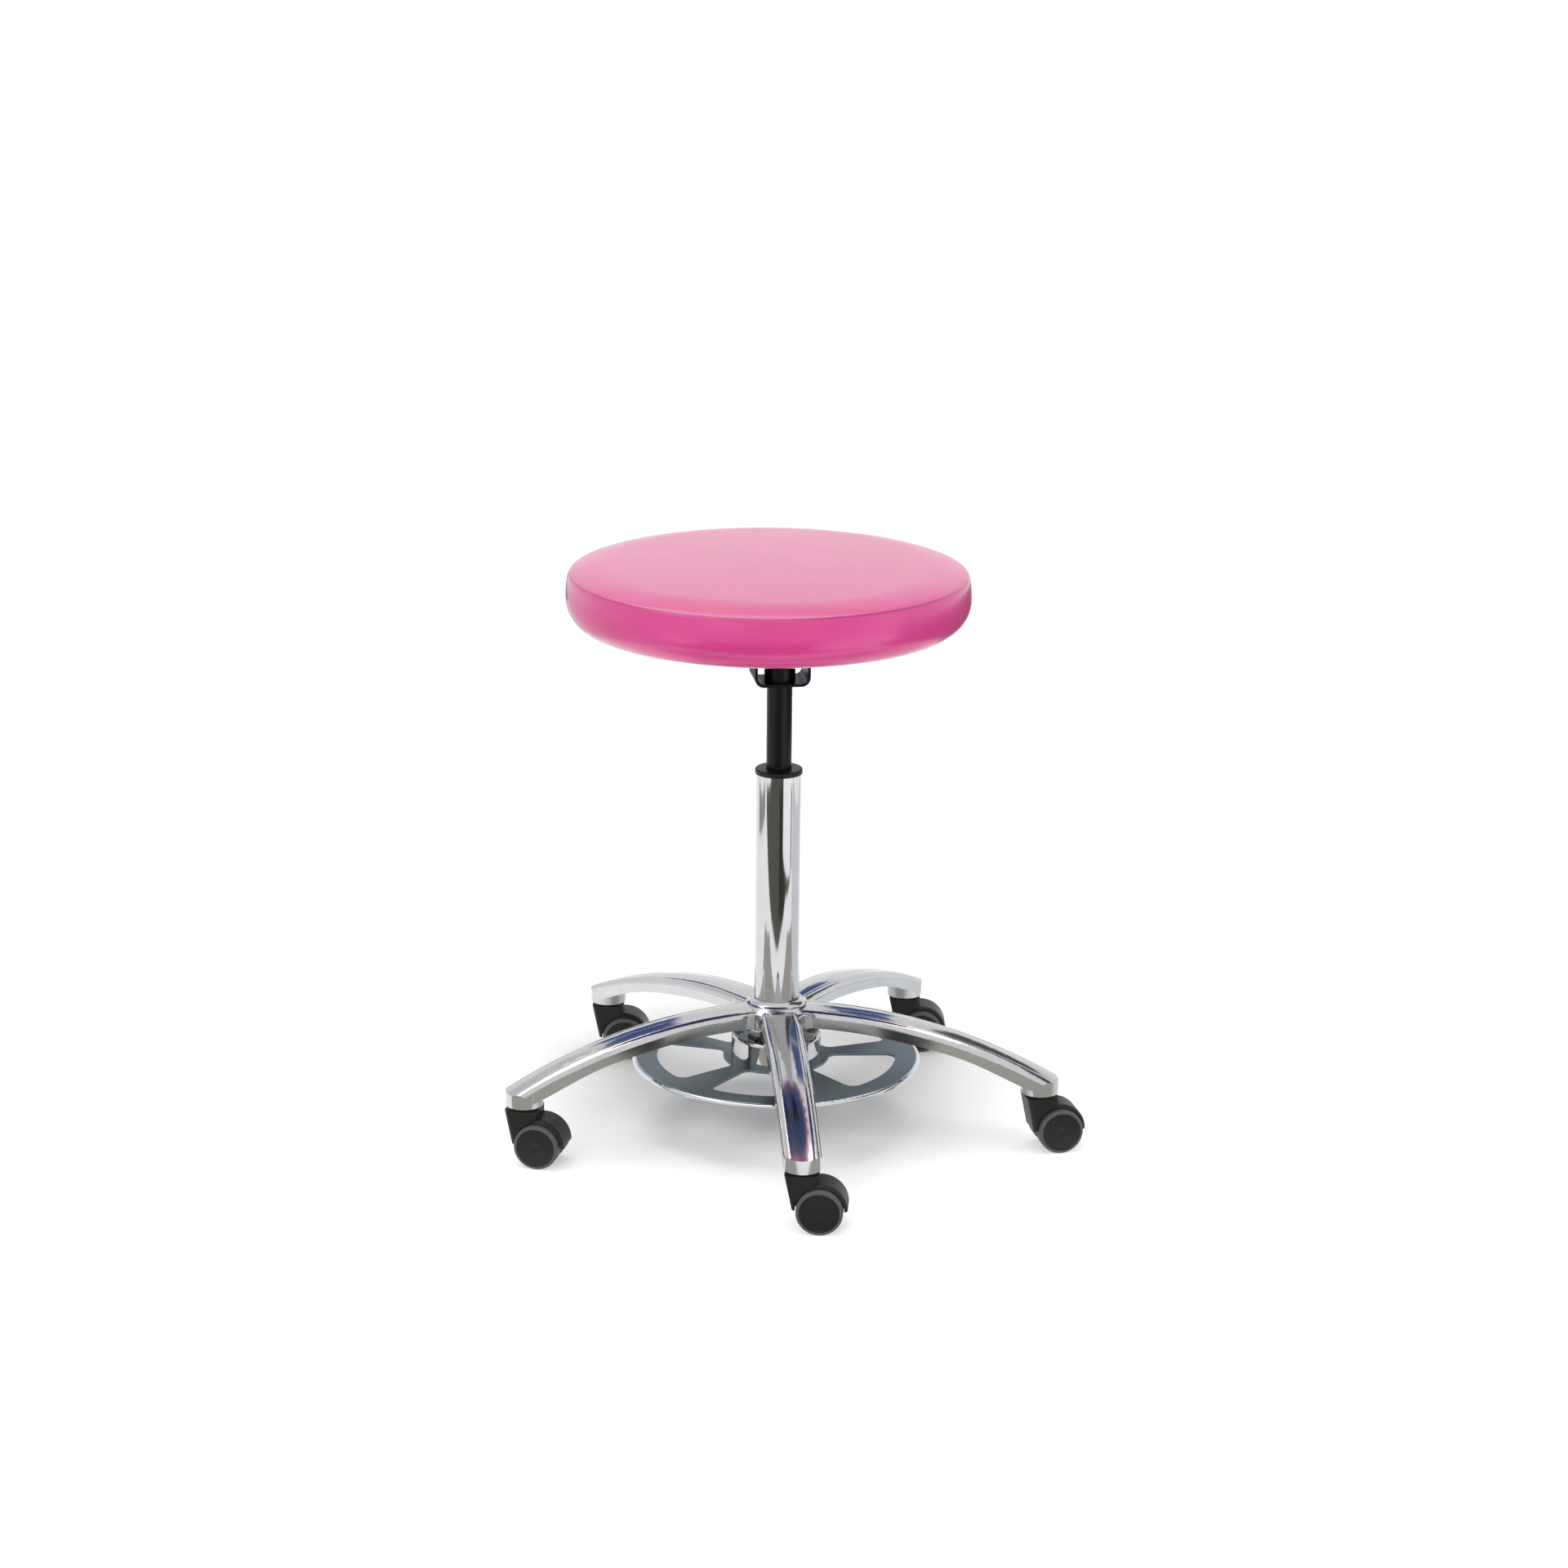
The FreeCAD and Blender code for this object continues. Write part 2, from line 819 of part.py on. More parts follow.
seat_bracket = piece("seat_bracket")
strap = size("bracket_sheet")
bend = size("bracket_bend")
outer_bend = bend + strap
arm = size("bracket_width") / 2
ear = size("bracket_span") / 2
strap_half = [
    (ear, bracket_top - strap),
    (ear, bracket_top),
    (arm + bend, bracket_top, outer_bend),
    (arm - strap, bracket_top - outer_bend),
    (arm - strap, bracket_low + outer_bend, -bend),
    (arm - outer_bend, bracket_low + strap),
]
strap_under = [
    (arm - outer_bend, bracket_low, outer_bend),
    (arm, bracket_low + outer_bend),
    (arm, bracket_top - outer_bend, -bend),
    (arm + bend, bracket_top - strap),
]
left_over = [
    (outer_bend - arm, bracket_low + strap, -bend),
    (strap - arm, bracket_low + outer_bend),
    (strap - arm, bracket_top - outer_bend, outer_bend),
    (-arm - bend, bracket_top),
    (-ear, bracket_top),
    (-ear, bracket_top - strap),
    (-arm - bend, bracket_top - strap, -bend),
    (-arm, bracket_top - outer_bend),
    (-arm, bracket_low + outer_bend, outer_bend),
    (outer_bend - arm, bracket_low),
]
strap_sketch = draw(seat_bracket, strap_half + left_over + strap_under)
pad(seat_bracket, strap_sketch, size("bracket_depth"))
socket_hole = size("socket_diameter") / 2 + running_gap
turn(
    seat_bracket,
    tube_outline(0, socket_hole, bracket_low - strap, bracket_low + 2 * strap),
    cut=True,
)
bolt_radius = size("bolt_diameter") / 2
bolt_x = size("bolt_span_across") / 2
bolt_y = size("bolt_span_along") / 2
bolt_places = [(x, y) for x in (-bolt_x, bolt_x) for y in (-bolt_y, bolt_y)]


def circles_at(places, radius):
    return [(x, y, radius) for x, y in places]


ear_holes = draw_circles(
    seat_bracket, circles_at(bolt_places, bolt_radius + running_gap), "XY_Plane", bracket_top
)
pocket(seat_bracket, ear_holes, 4 * strap)

# Bolts from below through the ears and the lining into the tee nuts in the board.
bolt_top = bracket_top + size("bolt_grip")


def post(body, radius, low, high):
    """A round pad at each bolt's place, from one height to another."""
    sketch = draw_circles(body, circles_at(bolt_places, radius), "XY_Plane", (low + high) / 2)
    return pad(body, sketch, high - low)


bracket_bolts = piece("bracket_bolts", group=True)
head_low = bracket_top - strap - size("bolt_head_height")
post(bracket_bolts, bolt_radius, head_low, bolt_top)
post(bracket_bolts, size("bolt_head_diameter") / 2, head_low, bracket_top - strap)

tee_nuts = piece("tee_nuts", group=True)
barrel = size("tee_nut_barrel") / 2
flange_low_of_nut = board_top - size("tee_nut_sheet")
post(tee_nuts, barrel, board_low, board_top)
post(tee_nuts, size("tee_nut_flange") / 2, flange_low_of_nut, board_top)
nut_bore = draw_circles(
    tee_nuts,
    circles_at(bolt_places, bolt_radius + running_gap),
    "XY_Plane",
    board_low,
)
pocket(tee_nuts, nut_bore, 2 * (bolt_top - board_low + running_gap))


# Seat: plywood board, foam, sewn cover turned under the edge, and a thin lining below.

seat_shift = size("seat_shift")
board_places = [(x + seat_shift, y) for x, y in bolt_places]

seat_board = piece("seat_board")
seat_radius = size("seat_diameter") / 2
base_radius = seat_radius - size("seat_base_inset")
board_radius = base_radius - size("board_margin")
turn(seat_board, tube_outline(0, board_radius, board_low, board_top))
board_holes = draw_circles(
    seat_board, circles_at(board_places, barrel + running_gap), "XY_Plane", board_low
)
pocket(seat_board, board_holes, 4 * size("board_thickness"))
board_counterbores = draw_circles(
    seat_board,
    circles_at(board_places, size("tee_nut_flange") / 2 + running_gap),
    "XY_Plane",
    board_top,
)
pocket(seat_board, board_counterbores, 2 * size("tee_nut_sheet"))

seat_lining = piece("seat_lining")
hem_inner = base_radius - size("cover_hem")
turn(seat_lining, tube_outline(0, hem_inner - soft_gap, bracket_top, board_low))
lining_holes = draw_circles(
    seat_lining, circles_at(board_places, bolt_radius + running_gap), "XY_Plane", bracket_top
)
pocket(seat_lining, lining_holes, 4 * size("lining_thickness"))


def cushion_side(inset):
    """The cushion's outline from its lower edge round the side to the seam, over the rolled
    shoulder and up to the crown, drawn in by an inset."""
    widest = seat_radius - inset
    seam = widest - size("seat_seam_inset")
    shoulder = seat_radius - size("seat_shoulder_inset")
    base_height = cover_low + inset
    widest_height = cover_low + size("seat_widest_height")
    seam_height = cover_low + size("seat_seam_height") - inset
    shoulder_height = seam_height + size("seat_shoulder_rise")
    low_side = shoulder_arc(widest_height - base_height, widest - base_radius)
    high_side = shoulder_arc(seam_height - widest_height, widest - seam)
    crown = size("seat_crown")
    return [
        (base_radius, base_height, low_side),
        (widest, widest_height, high_side),
        (seam, seam_height, size("seat_roll") - inset),
        (shoulder, shoulder_height, shoulder_arc(shoulder, crown)),
        (0, shoulder_height + crown),
    ]


def backwards(corners):
    """The same outline run the other way, so each arc turns the other way."""
    points = [corner[:2] for corner in corners][::-1]
    bends = [corner[2:] for corner in corners][::-1]
    following = bends[1:] + [()]
    return [point + tuple(-radius for radius in arc) for point, arc in zip(points, following)]


seat_cover = piece("seat_cover")
skin = size("cover_thickness")
turn(
    seat_cover,
    [(hem_inner, cover_low)]
    + cushion_side(sized(0))
    + backwards(cushion_side(skin))
    + [(hem_inner, board_low)],
)

seat_foam = piece("seat_foam")
foam_inset = skin + soft_gap
turn(
    seat_foam,
    [
        (0, board_top),
        (board_radius + soft_gap, board_top),
        (board_radius + soft_gap, cover_low + foam_inset),
    ]
    + cushion_side(foam_inset),
)


# Foot release: a fixed mushroom under the hub, and the disc whose cup hangs on its flange.

tilt_carrier = piece("tilt_carrier")
carrier_radius = size("carrier_diameter") / 2
carrier_bore = size("carrier_bore") / 2
turn(
    tilt_carrier,
    [
        (carrier_bore, flange_low),
        (carrier_radius, flange_low),
        (carrier_radius, flange_top),
        (size("carrier_neck") / 2, flange_top),
        (size("carrier_neck") / 2, size("hub_bottom")),
        (carrier_bore, size("hub_bottom")),
    ],
)
carrier_cut = turn(
    tilt_carrier,
    tube_outline(0, screw_radius + running_gap, flange_low - screw_radius, plug_top),
    "YZ_Plane",
    screw_circle,
    cut=True,
)
ring_of(tilt_carrier, [carrier_cut], SCREW_COUNT)
tilt_carrier.Placement = at(turned=FRONT_LEG)

carrier_screws = piece("carrier_screws", group=True)
screw_head = size("carrier_head_diameter") / 2
screw_low = flange_low - size("carrier_head_height")
carrier_screw = turn(
    carrier_screws,
    [
        (0, screw_low),
        (screw_head, screw_low),
        (screw_head, flange_low),
        (screw_radius, flange_low),
        (screw_radius, plug_top - running_gap),
        (0, plug_top - running_gap),
    ],
    "YZ_Plane",
    screw_circle,
)
ring_of(carrier_screws, [carrier_screw], SCREW_COUNT)
carrier_screws.Placement = at(turned=FRONT_LEG)

disc_cup = piece("disc_cup")
cup_radius = size("cup_diameter") / 2
cup_bore = cup_radius - size("cup_wall")
cup_round = size("cup_round")
turn(
    disc_cup,
    [
        (cup_bore, disc_top),
        (cup_radius, disc_top),
        (cup_radius, cup_top - cup_round, cup_round),
        (cup_radius - cup_round, cup_top),
        (size("cup_mouth") / 2, cup_top),
        (size("cup_mouth") / 2, flange_top),
        (cup_bore, flange_top),
    ],
)
disc_screw_radius = size("disc_screw") / 2
disc_screw_circle = cup_radius - size("cup_wall") / 2
disc_screw_top = disc_low + size("disc_screw_length")
cup_cut = turn(
    disc_cup,
    tube_outline(0, disc_screw_radius + running_gap, disc_low, disc_screw_top + running_gap),
    "YZ_Plane",
    disc_screw_circle,
    cut=True,
)
ring_of(disc_cup, [cup_cut], leg_count)

foot_disc = piece("foot_disc")
disc_radius = size("disc_diameter") / 2
roll = size("disc_roll")
sheet_metal = size("disc_sheet")
skirt_low = disc_top - roll - size("disc_skirt")
stud_radius = size("stud_diameter") / 2
turn(
    foot_disc,
    [
        (stud_radius + running_gap, disc_low),
        (disc_radius - roll, disc_low, sheet_metal - roll),
        (disc_radius - sheet_metal, disc_top - roll),
        (disc_radius - sheet_metal, skirt_low),
        (disc_radius, skirt_low),
        (disc_radius, disc_top - roll, roll),
        (disc_radius - roll, disc_top),
        (stud_radius + running_gap, disc_top),
    ],
)


def window_corners(inner, outer, half_angle, corner):
    """One window: two arcs about the axis, two radial sides and rounded corners."""
    def polar(radius, angle):
        return (radius * cosine(angle), radius * sine(angle))

    def shift(radius):
        """Angle that a corner's round takes up along an arc of the window."""
        degrees = math.degrees(math.asin(corner.value / radius.value))
        return Size(degrees, f"asin({corner.formula} / {radius.formula}) / 1 deg")

    outer_middle = outer - corner
    inner_middle = inner + corner
    outer_turn = half_angle - shift(outer_middle)
    inner_turn = half_angle - shift(inner_middle)
    outer_side = root(outer_middle * outer_middle - corner * corner)
    inner_side = root(inner_middle * inner_middle - corner * corner)
    return [
        polar(inner_side, -half_angle),
        polar(outer_side, -half_angle) + (corner,),
        polar(outer, -outer_turn) + (outer,),
        polar(outer, outer_turn) + (corner,),
        polar(outer_side, half_angle),
        polar(inner_side, half_angle) + (corner,),
        polar(inner, inner_turn) + (-inner,),
        polar(inner, -inner_turn) + (corner,),
    ]


window_half = leg_pitch / 2 - size("spoke_angle") / 2
window_sketch = draw(
    foot_disc,
    window_corners(size("window_inner"), size("window_outer"), window_half, size("window_corner")),
    "XY_Plane",
    disc_top,
)
window = pocket(foot_disc, window_sketch, 4 * sheet_metal)
head_radius = size("disc_screw_head") / 2
head_drop = head_radius - disc_screw_radius
disc_cut = turn(
    foot_disc,
    [
        (0, disc_low - running_gap),
        (head_radius + running_gap, disc_low - running_gap),
        (head_radius + running_gap, disc_low),
        (disc_screw_radius + running_gap, disc_low + head_drop),
        (disc_screw_radius + running_gap, disc_top + running_gap),
        (0, disc_top + running_gap),
    ],
    "YZ_Plane",
    disc_screw_circle,
    cut=True,
)
ring_of(foot_disc, [window, disc_cut], leg_count)

disc_screws = piece("disc_screws", group=True)
disc_screw = turn(
    disc_screws,
    [
        (0, disc_low),
        (head_radius, disc_low),
        (disc_screw_radius, disc_low + head_drop),
        (disc_screw_radius, disc_screw_top),
        (0, disc_screw_top),
    ],
    "YZ_Plane",
    disc_screw_circle,
)
ring_of(disc_screws, [disc_screw], leg_count)

release_stud = piece("release_stud")
stud_foot = size("stud_foot") / 2
stud_top = pin_low - size("pin_gap")
turn(
    release_stud,
    [
        (0, disc_low - sheet_metal),
        (stud_foot, disc_low - sheet_metal),
        (stud_foot, disc_low),
        (stud_radius, disc_low),
        (stud_radius, stud_top - pin_round, pin_round),
        (stud_radius - pin_round, stud_top),
        (0, stud_top),
    ],
)
for body in (disc_cup, foot_disc, disc_screws, release_stud):
    body.Placement = at(turned=size("window_turn").value)


# Castors: steel stems in the bosses, and twin wheels under a moulded hood that trails behind them.

castor_stems = piece("castor_stems", group=True)
collar_of_stem = size("stem_collar") / 2
stem_top = size("boss_bottom") + size("stem_length")
spigot = size("spigot_diameter") / 2
spigot_low = hood_top - size("spigot_length")
grip_low = size("boss_bottom") + (size("stem_length") - size("grip_height")) / 2
grip_top = grip_low + size("grip_height")
grip_bed = stem_radius - size("grip_depth")
stem = turn(
    castor_stems,
    [
        (0, spigot_low),
        (spigot, spigot_low),
        (spigot, collar_low),
        (collar_of_stem, collar_low),
        (collar_of_stem, size("boss_bottom")),
        (stem_radius - running_gap, size("boss_bottom")),
        (stem_radius - running_gap, grip_low),
        (grip_bed, grip_low),
        (grip_bed, grip_top),
        (stem_radius - running_gap, grip_top),
        (stem_radius - running_gap, stem_top),
        (0, stem_top),
    ],
    "YZ_Plane",
    leg_reach,
)
ring_of(castor_stems, [stem], leg_count)
castor_stems.Placement = at(turned=FRONT_LEG)

SPLIT_RING = 330
grip_rings = piece("grip_rings", group=True)
grip_ring = turn(
    grip_rings,
    tube_outline(grip_bed, stem_radius, grip_low, grip_top),
    "YZ_Plane",
    leg_reach,
    angle=SPLIT_RING,
)
ring_of(grip_rings, [grip_ring], leg_count)
grip_rings.Placement = at(turned=FRONT_LEG)

wheel_radius = size("wheel_diameter") / 2
trail = size("castor_trail")
hood_inner = wheel_radius + size("wheel_room")
hood_outer = hood_inner + size("hood_wall")
hood_half = size("hood_width") / 2
web_half_width = size("hood_web") / 2
axle_radius = size("axle_diameter") / 2
wheel_side = web_half_width + size("side_gap")


def castor_hood(label):
    """Moulded hood: a round neck, a sloping nose, a fender over both wheels and a web for the axle."""
    body = piece(label)
    neck = size("hood_neck") / 2
    nose = trail - size("hood_nose")
    fender_top = axle_height + hood_outer
    side = draw(
        body,
        [
            (nose, axle_height),
            (trail + hood_outer, axle_height, hood_outer),
            (trail, fender_top),
            (neck, fender_top),
            (neck, hood_top),
            (-neck, hood_top),
        ],
    )
    shell = pad(body, side, size("hood_width"))
    doc.recompute()
    fillet = body.newObject("PartDesign::Fillet", "Rounded")
    fillet.Base = (shell, side_edges(shell.Shape))
    fillet.setExpression("Radius", "Sizes.hood_round")
    web = draw_circles(body, [(trail, axle_height, size("web_diameter") / 2)])
    pad(body, web, size("hood_web"))
    well_depth = hood_half - web_half_width
    for direction in (-1, 1):
        offset = direction * (web_half_width + hood_half) / 2
        well = draw_circles(body, [(trail, axle_height, hood_inner)], offset=offset)
        pocket(body, well, well_depth)
    hole = draw_circles(body, [(trail, axle_height, axle_radius + running_gap)])
    pocket(body, hole, size("hood_width"))
    turn(
        body,
        tube_outline(0, spigot + running_gap, spigot_low - running_gap, hood_top + spigot),
        cut=True,
    )
    return body


def side_edges(shape):
    """Edges round the two flat sides of the hood, leaving out the lower rim."""
    names = []
    for number, edge in enumerate(shape.Edges, start=1):
        box = edge.BoundBox
        on_side = box.YLength < 0.01 and abs(abs(box.Center.y) - hood_half.value) < 0.01
        above_rim = box.ZMax > axle_height.value + 0.01
        below_top = box.ZMin < hood_top.value - 0.01
        if on_side and above_rim and below_top:
            names.append(f"Edge{number}")
    return names


def castor_axle(label):
    body = piece(label)
    half = size("axle_length") / 2
    turn(body, tube_outline(0, axle_radius, -half, half))
    return body


def castor_wheel(label):
    """Moulded wheel: a dished face, a rim for the tyre and a hub that runs on the axle."""
    body = piece(label)
    wall = size("hood_wall")
    face = size("wheel_face") / 2
    outer = wheel_side + size("wheel_width")
    rim = face - wall
    hub = axle_radius + wall
    bore = axle_radius + running_gap
    bore_end = size("axle_length") / 2 + running_gap
    turn(
        body,
        [
            (bore, wheel_side),
            (hub, wheel_side),
            (hub, outer - wall),
            (rim, outer - wall),
            (rim, wheel_side),
            (face, wheel_side),
            (face, outer),
            (hub, outer),
            (0, outer - wall / 4),
            (0, bore_end),
            (bore, bore_end),
        ],
    )
    return body


def castor_tyre(label):
    body = piece(label)
    face = size("wheel_face") / 2
    outer = wheel_side + size("wheel_width")
    edge = size("tyre_round")
    turn(
        body,
        [
            (face, wheel_side),
            (wheel_radius - edge, wheel_side, edge),
            (wheel_radius, wheel_side + edge),
            (wheel_radius, outer - edge, edge),
            (wheel_radius - edge, outer),
            (face, outer),
        ],
    )
    return body


WHEEL_SIDES = {"left": -90, "right": 90}
for index, castor_turn in enumerate(CASTOR_TURNS):
    angle = math.radians(FRONT_LEG + index * leg_pitch.value)
    x = leg_reach.value * math.cos(angle)
    y = leg_reach.value * math.sin(angle)
    swivel = at(x, y, 0, castor_turn)
    axle_middle = swivel * at(trail.value, 0, axle_height.value)
    name = f"castor_{index + 1}"
    castor_hood(f"{name}_hood").Placement = swivel
    lying = FreeCAD.Placement(FreeCAD.Vector(), FreeCAD.Rotation(FreeCAD.Vector(1, 0, 0), 90))
    castor_axle(f"{name}_axle").Placement = axle_middle * lying
    for side_name, lean in WHEEL_SIDES.items():
        leaning = FreeCAD.Rotation(FreeCAD.Vector(1, 0, 0), lean)
        hub_place = axle_middle * FreeCAD.Placement(FreeCAD.Vector(), leaning)
        castor_wheel(f"{name}_wheel_{side_name}").Placement = hub_place
        castor_tyre(f"{name}_tyre_{side_name}").Placement = hub_place

# The bracket is bolted a little off the cushion's middle.
for body in (seat_bracket, bracket_bolts, tee_nuts):
    body.Placement = at(turned=bracket_turn)
for body in (seat_board, seat_lining, seat_foam, seat_cover):
    body.Placement = at(turned=bracket_turn) * at(x=-seat_shift.value)

doc.recompute()
faults = []
for item in doc.Objects:
    if "Invalid" in item.State or "Error" in item.State:
        faults.append(f"{item.Label}: {item.State}")
for body in pieces:
    if body.Shape.isNull() or not body.Shape.isValid() or not body.Shape.Solids:
        faults.append(f"{body.Label}: no valid solid")
if faults:
    raise RuntimeError("; ".join(faults))

os.makedirs("parts", exist_ok=True)
for body in pieces:
    body.Shape.exportStep(f"parts/{body.Label}.step")
    print(body.Label, len(body.Shape.Solids), round(body.Shape.Volume))
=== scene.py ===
import math

import bmesh
import bpy
from mathutils import Matrix, Vector, noise


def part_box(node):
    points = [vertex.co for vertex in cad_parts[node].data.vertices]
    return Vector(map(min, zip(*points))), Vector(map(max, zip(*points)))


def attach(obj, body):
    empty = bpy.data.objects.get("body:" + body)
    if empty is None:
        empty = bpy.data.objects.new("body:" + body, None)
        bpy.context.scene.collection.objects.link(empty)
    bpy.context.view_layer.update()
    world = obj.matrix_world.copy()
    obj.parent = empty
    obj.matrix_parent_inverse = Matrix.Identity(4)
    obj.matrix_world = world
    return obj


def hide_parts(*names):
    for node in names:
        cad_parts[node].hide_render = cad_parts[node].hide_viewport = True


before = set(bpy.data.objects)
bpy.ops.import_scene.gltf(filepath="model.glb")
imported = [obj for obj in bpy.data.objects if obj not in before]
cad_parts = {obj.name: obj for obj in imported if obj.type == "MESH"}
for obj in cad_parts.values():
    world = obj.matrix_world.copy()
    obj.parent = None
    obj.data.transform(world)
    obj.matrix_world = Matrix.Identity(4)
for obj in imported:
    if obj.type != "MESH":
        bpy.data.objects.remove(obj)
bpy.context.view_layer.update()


# Star base: one alloy casting with five arched legs, ground and polished to a mirror.
# The hub's collar stands round the column, and a boss at each leg's end takes a castor.

class Shade:
    """A socket of a material. Sums and products of shades add the nodes that work them out."""

    def __init__(self, tree, socket=None):
        self.tree = tree
        self.socket = socket

    def node(self, kind, settings=None, sockets=None, output=0):
        """A node of one kind: its settings first, then values or links for its sockets."""
        made = self.tree.nodes.new(kind)
        for name, value in (settings or {}).items():
            if name == "stops":
                for stop, (place, colour) in zip(ramp_stops(made, len(value)), value):
                    stop.position = place
                    stop.color = colour
            else:
                setattr(made, name, value)
        for name, value in (sockets or {}).items():
            if isinstance(value, Shade):
                self.tree.links.new(value.socket, made.inputs[name])
            else:
                made.inputs[name].default_value = value
        return Shade(self.tree, made.outputs[output])

    def maths(self, operation, first, second):
        return self.node("ShaderNodeMath", {"operation": operation}, {0: first, 1: second})

    def __add__(self, other):
        return self.maths("ADD", self, other)

    def __radd__(self, other):
        return self.maths("ADD", other, self)

    def __sub__(self, other):
        return self.maths("SUBTRACT", self, other)

    def __rsub__(self, other):
        return self.maths("SUBTRACT", other, self)

    def __mul__(self, other):
        return self.maths("MULTIPLY", self, other)

    def __rmul__(self, other):
        return self.maths("MULTIPLY", other, self)

    def between(self, low, high):
        """Nought below one value, one above the other, and smooth in between."""
        settings = {"interpolation_type": "SMOOTHSTEP"}
        return self.node(
            "ShaderNodeMapRange", settings, {"Value": self, "From Min": low, "From Max": high}
        )

    def spread(self, low, high):
        """One value where the shade is nought, the other where it is one."""
        return low + self * (high - low)


def ramp_stops(node, count):
    stops = node.color_ramp.elements
    while len(stops) < count:
        stops.new(0.5)
    return stops


def new_finish(name, colour, roughness, metallic=0.0, **constants):
    """A material with one surface shader; returns the material, its shader and a shade to build on."""
    material = bpy.data.materials.new(name)
    material.use_nodes = True
    tree = material.node_tree
    shader = tree.nodes["Principled BSDF"]
    shader.inputs["Base Color"].default_value = (*colour, 1)
    shader.inputs["Roughness"].default_value = roughness
    shader.inputs["Metallic"].default_value = metallic
    for socket, value in constants.items():
        shader.inputs[socket.replace("_", " ")].default_value = value
    return material, shader, Shade(tree)


def feed(shader, socket, shade):
    shade.tree.links.new(shade.socket, shader.inputs[socket])


def place_in(shade):
    """The point on the piece, in metres."""
    return shade.node("ShaderNodeTexCoord", output=3)


def mottle(shade, scale, detail=2.0, roughness=0.5):
    """Cloudy noise from 0 to 1 with about this many clouds to the metre."""
    sockets = {"Vector": place_in(shade), "Scale": scale, "Detail": detail, "Roughness": roughness}
    return shade.node("ShaderNodeTexNoise", sockets=sockets)


def blend_colours(shade, factor, first, second):
    ends = [end if isinstance(end, Shade) else (*end, 1) for end in (first, second)]
    sockets = {"Factor": factor, 6: ends[0], 7: ends[1]}
    return shade.node("ShaderNodeMix", {"data_type": "RGBA"}, sockets, output=2)


def dress(material, *nodes):
    for name in nodes:
        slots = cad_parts[name].data.materials
        slots.clear()
        slots.append(material)


POLISH_CLOUDS = 22
WIPING_MARKS = 260
CLOUD_EDGES = (0.35, 0.7)
DULL_SHARE = 0.93


def polished_metal(name, colour, smooth, worn):
    """Bright metal whose polish is a little uneven, with faint wiping marks."""
    material, shader, shade = new_finish(name, colour, smooth, metallic=1.0)
    clouds = mottle(shade, POLISH_CLOUDS, detail=4)
    wiping = mottle(shade, WIPING_MARKS, detail=3, roughness=0.7)
    feed(shader, "Roughness", smooth + (clouds * wiping) * worn)
    dull = tuple(value * DULL_SHARE for value in colour)
    feed(shader, "Base Color", blend_colours(shade, clouds.between(*CLOUD_EDGES), colour, dull))
    return material


ALLOY = (0.57, 0.57, 0.58)
polished_alloy = polished_metal("polished_alloy", ALLOY, smooth=0.10, worn=0.14)
dress(polished_alloy, "star_base")


# Column: a chromed steel tube standing in the hub, with a black moulded guide bush in its mouth.
# Its foot plug and the thrust bearing on it are inside and only show when it is taken apart.

CHROME = (0.55, 0.55, 0.56)
chrome = polished_metal("chrome_plate", CHROME, smooth=0.035, worn=0.08)
dress(chrome, "column_tube", "piston_rod")


def raise_by(shade, shader, height, distance, strength=1.0):
    """Let a height shade push the surface in and out by a distance in metres."""
    sockets = {"Height": height, "Distance": distance, "Strength": strength}
    feed(shader, "Normal", shade.node("ShaderNodeBump", sockets=sockets))


STEEL = (0.52, 0.52, 0.53)
TURNING_LINES = 900.0
TURNING_WAVER = 1.5
TURNING_DEPTH = 0.00001
turned_steel, turned_shader, shade = new_finish("turned_steel", STEEL, roughness=0.3, metallic=1.0)
turning = shade.node(
    "ShaderNodeTexWave",
    {"bands_direction": "Z", "wave_profile": "SIN"},
    {"Vector": place_in(shade), "Scale": TURNING_LINES, "Distortion": TURNING_WAVER},
)
feed(turned_shader, "Roughness", turning.spread(0.24, 0.38))
raise_by(shade, turned_shader, turning, TURNING_DEPTH)
dress(
    turned_steel,
    "column_plug", "lower_race", "upper_race", "bearing_balls", "rod_clip", "piston",
    "release_pin", "release_stud", "tilt_carrier", "castor_stems", "grip_rings",
)

MOULD_SPARKS = 2400
SPARK_LIGHTER = 1.35
MOULD_CLOUDS = 60
MOULD_UNEVEN = 0.06


def moulded_plastic(name, colour, roughness, grain):
    """Moulded plastic with a fine spark-eroded grain of this depth in metres."""
    material, shader, shade = new_finish(name, colour, roughness, Specular_IOR_Level=0.3)
    sparks = mottle(shade, MOULD_SPARKS, detail=2)
    clouds = mottle(shade, MOULD_CLOUDS, detail=3)
    feed(shader, "Roughness", clouds.spread(roughness - MOULD_UNEVEN, roughness + MOULD_UNEVEN))
    lighter = tuple(value * SPARK_LIGHTER for value in colour)
    feed(shader, "Base Color", blend_colours(shade, sparks, colour, lighter))
    raise_by(shade, shader, sparks, grain)
    return material


BUSH_BLACK = (0.005, 0.005, 0.0055)
black_moulding = moulded_plastic("black_moulding", BUSH_BLACK, roughness=0.38, grain=0.00003)
dress(black_moulding, "guide_bush", "rod_guide")


# Foot release: a round pressed disc whose cup hangs on a fixed flange under the hub.
# The disc's top is sprayed grey, its rolled rim and the cup are chromed, and the screws zinc plated.

dress(chrome, "disc_cup")


def stretched_place(shade, factors):
    """The point on the piece, with each of its three measures multiplied."""
    sockets = {0: place_in(shade), 1: factors}
    return shade.node("ShaderNodeVectorMath", {"operation": "MULTIPLY"}, sockets)


def length_of(shade, vector):
    return shade.node("ShaderNodeVectorMath", {"operation": "LENGTH"}, {0: vector}, output=1)


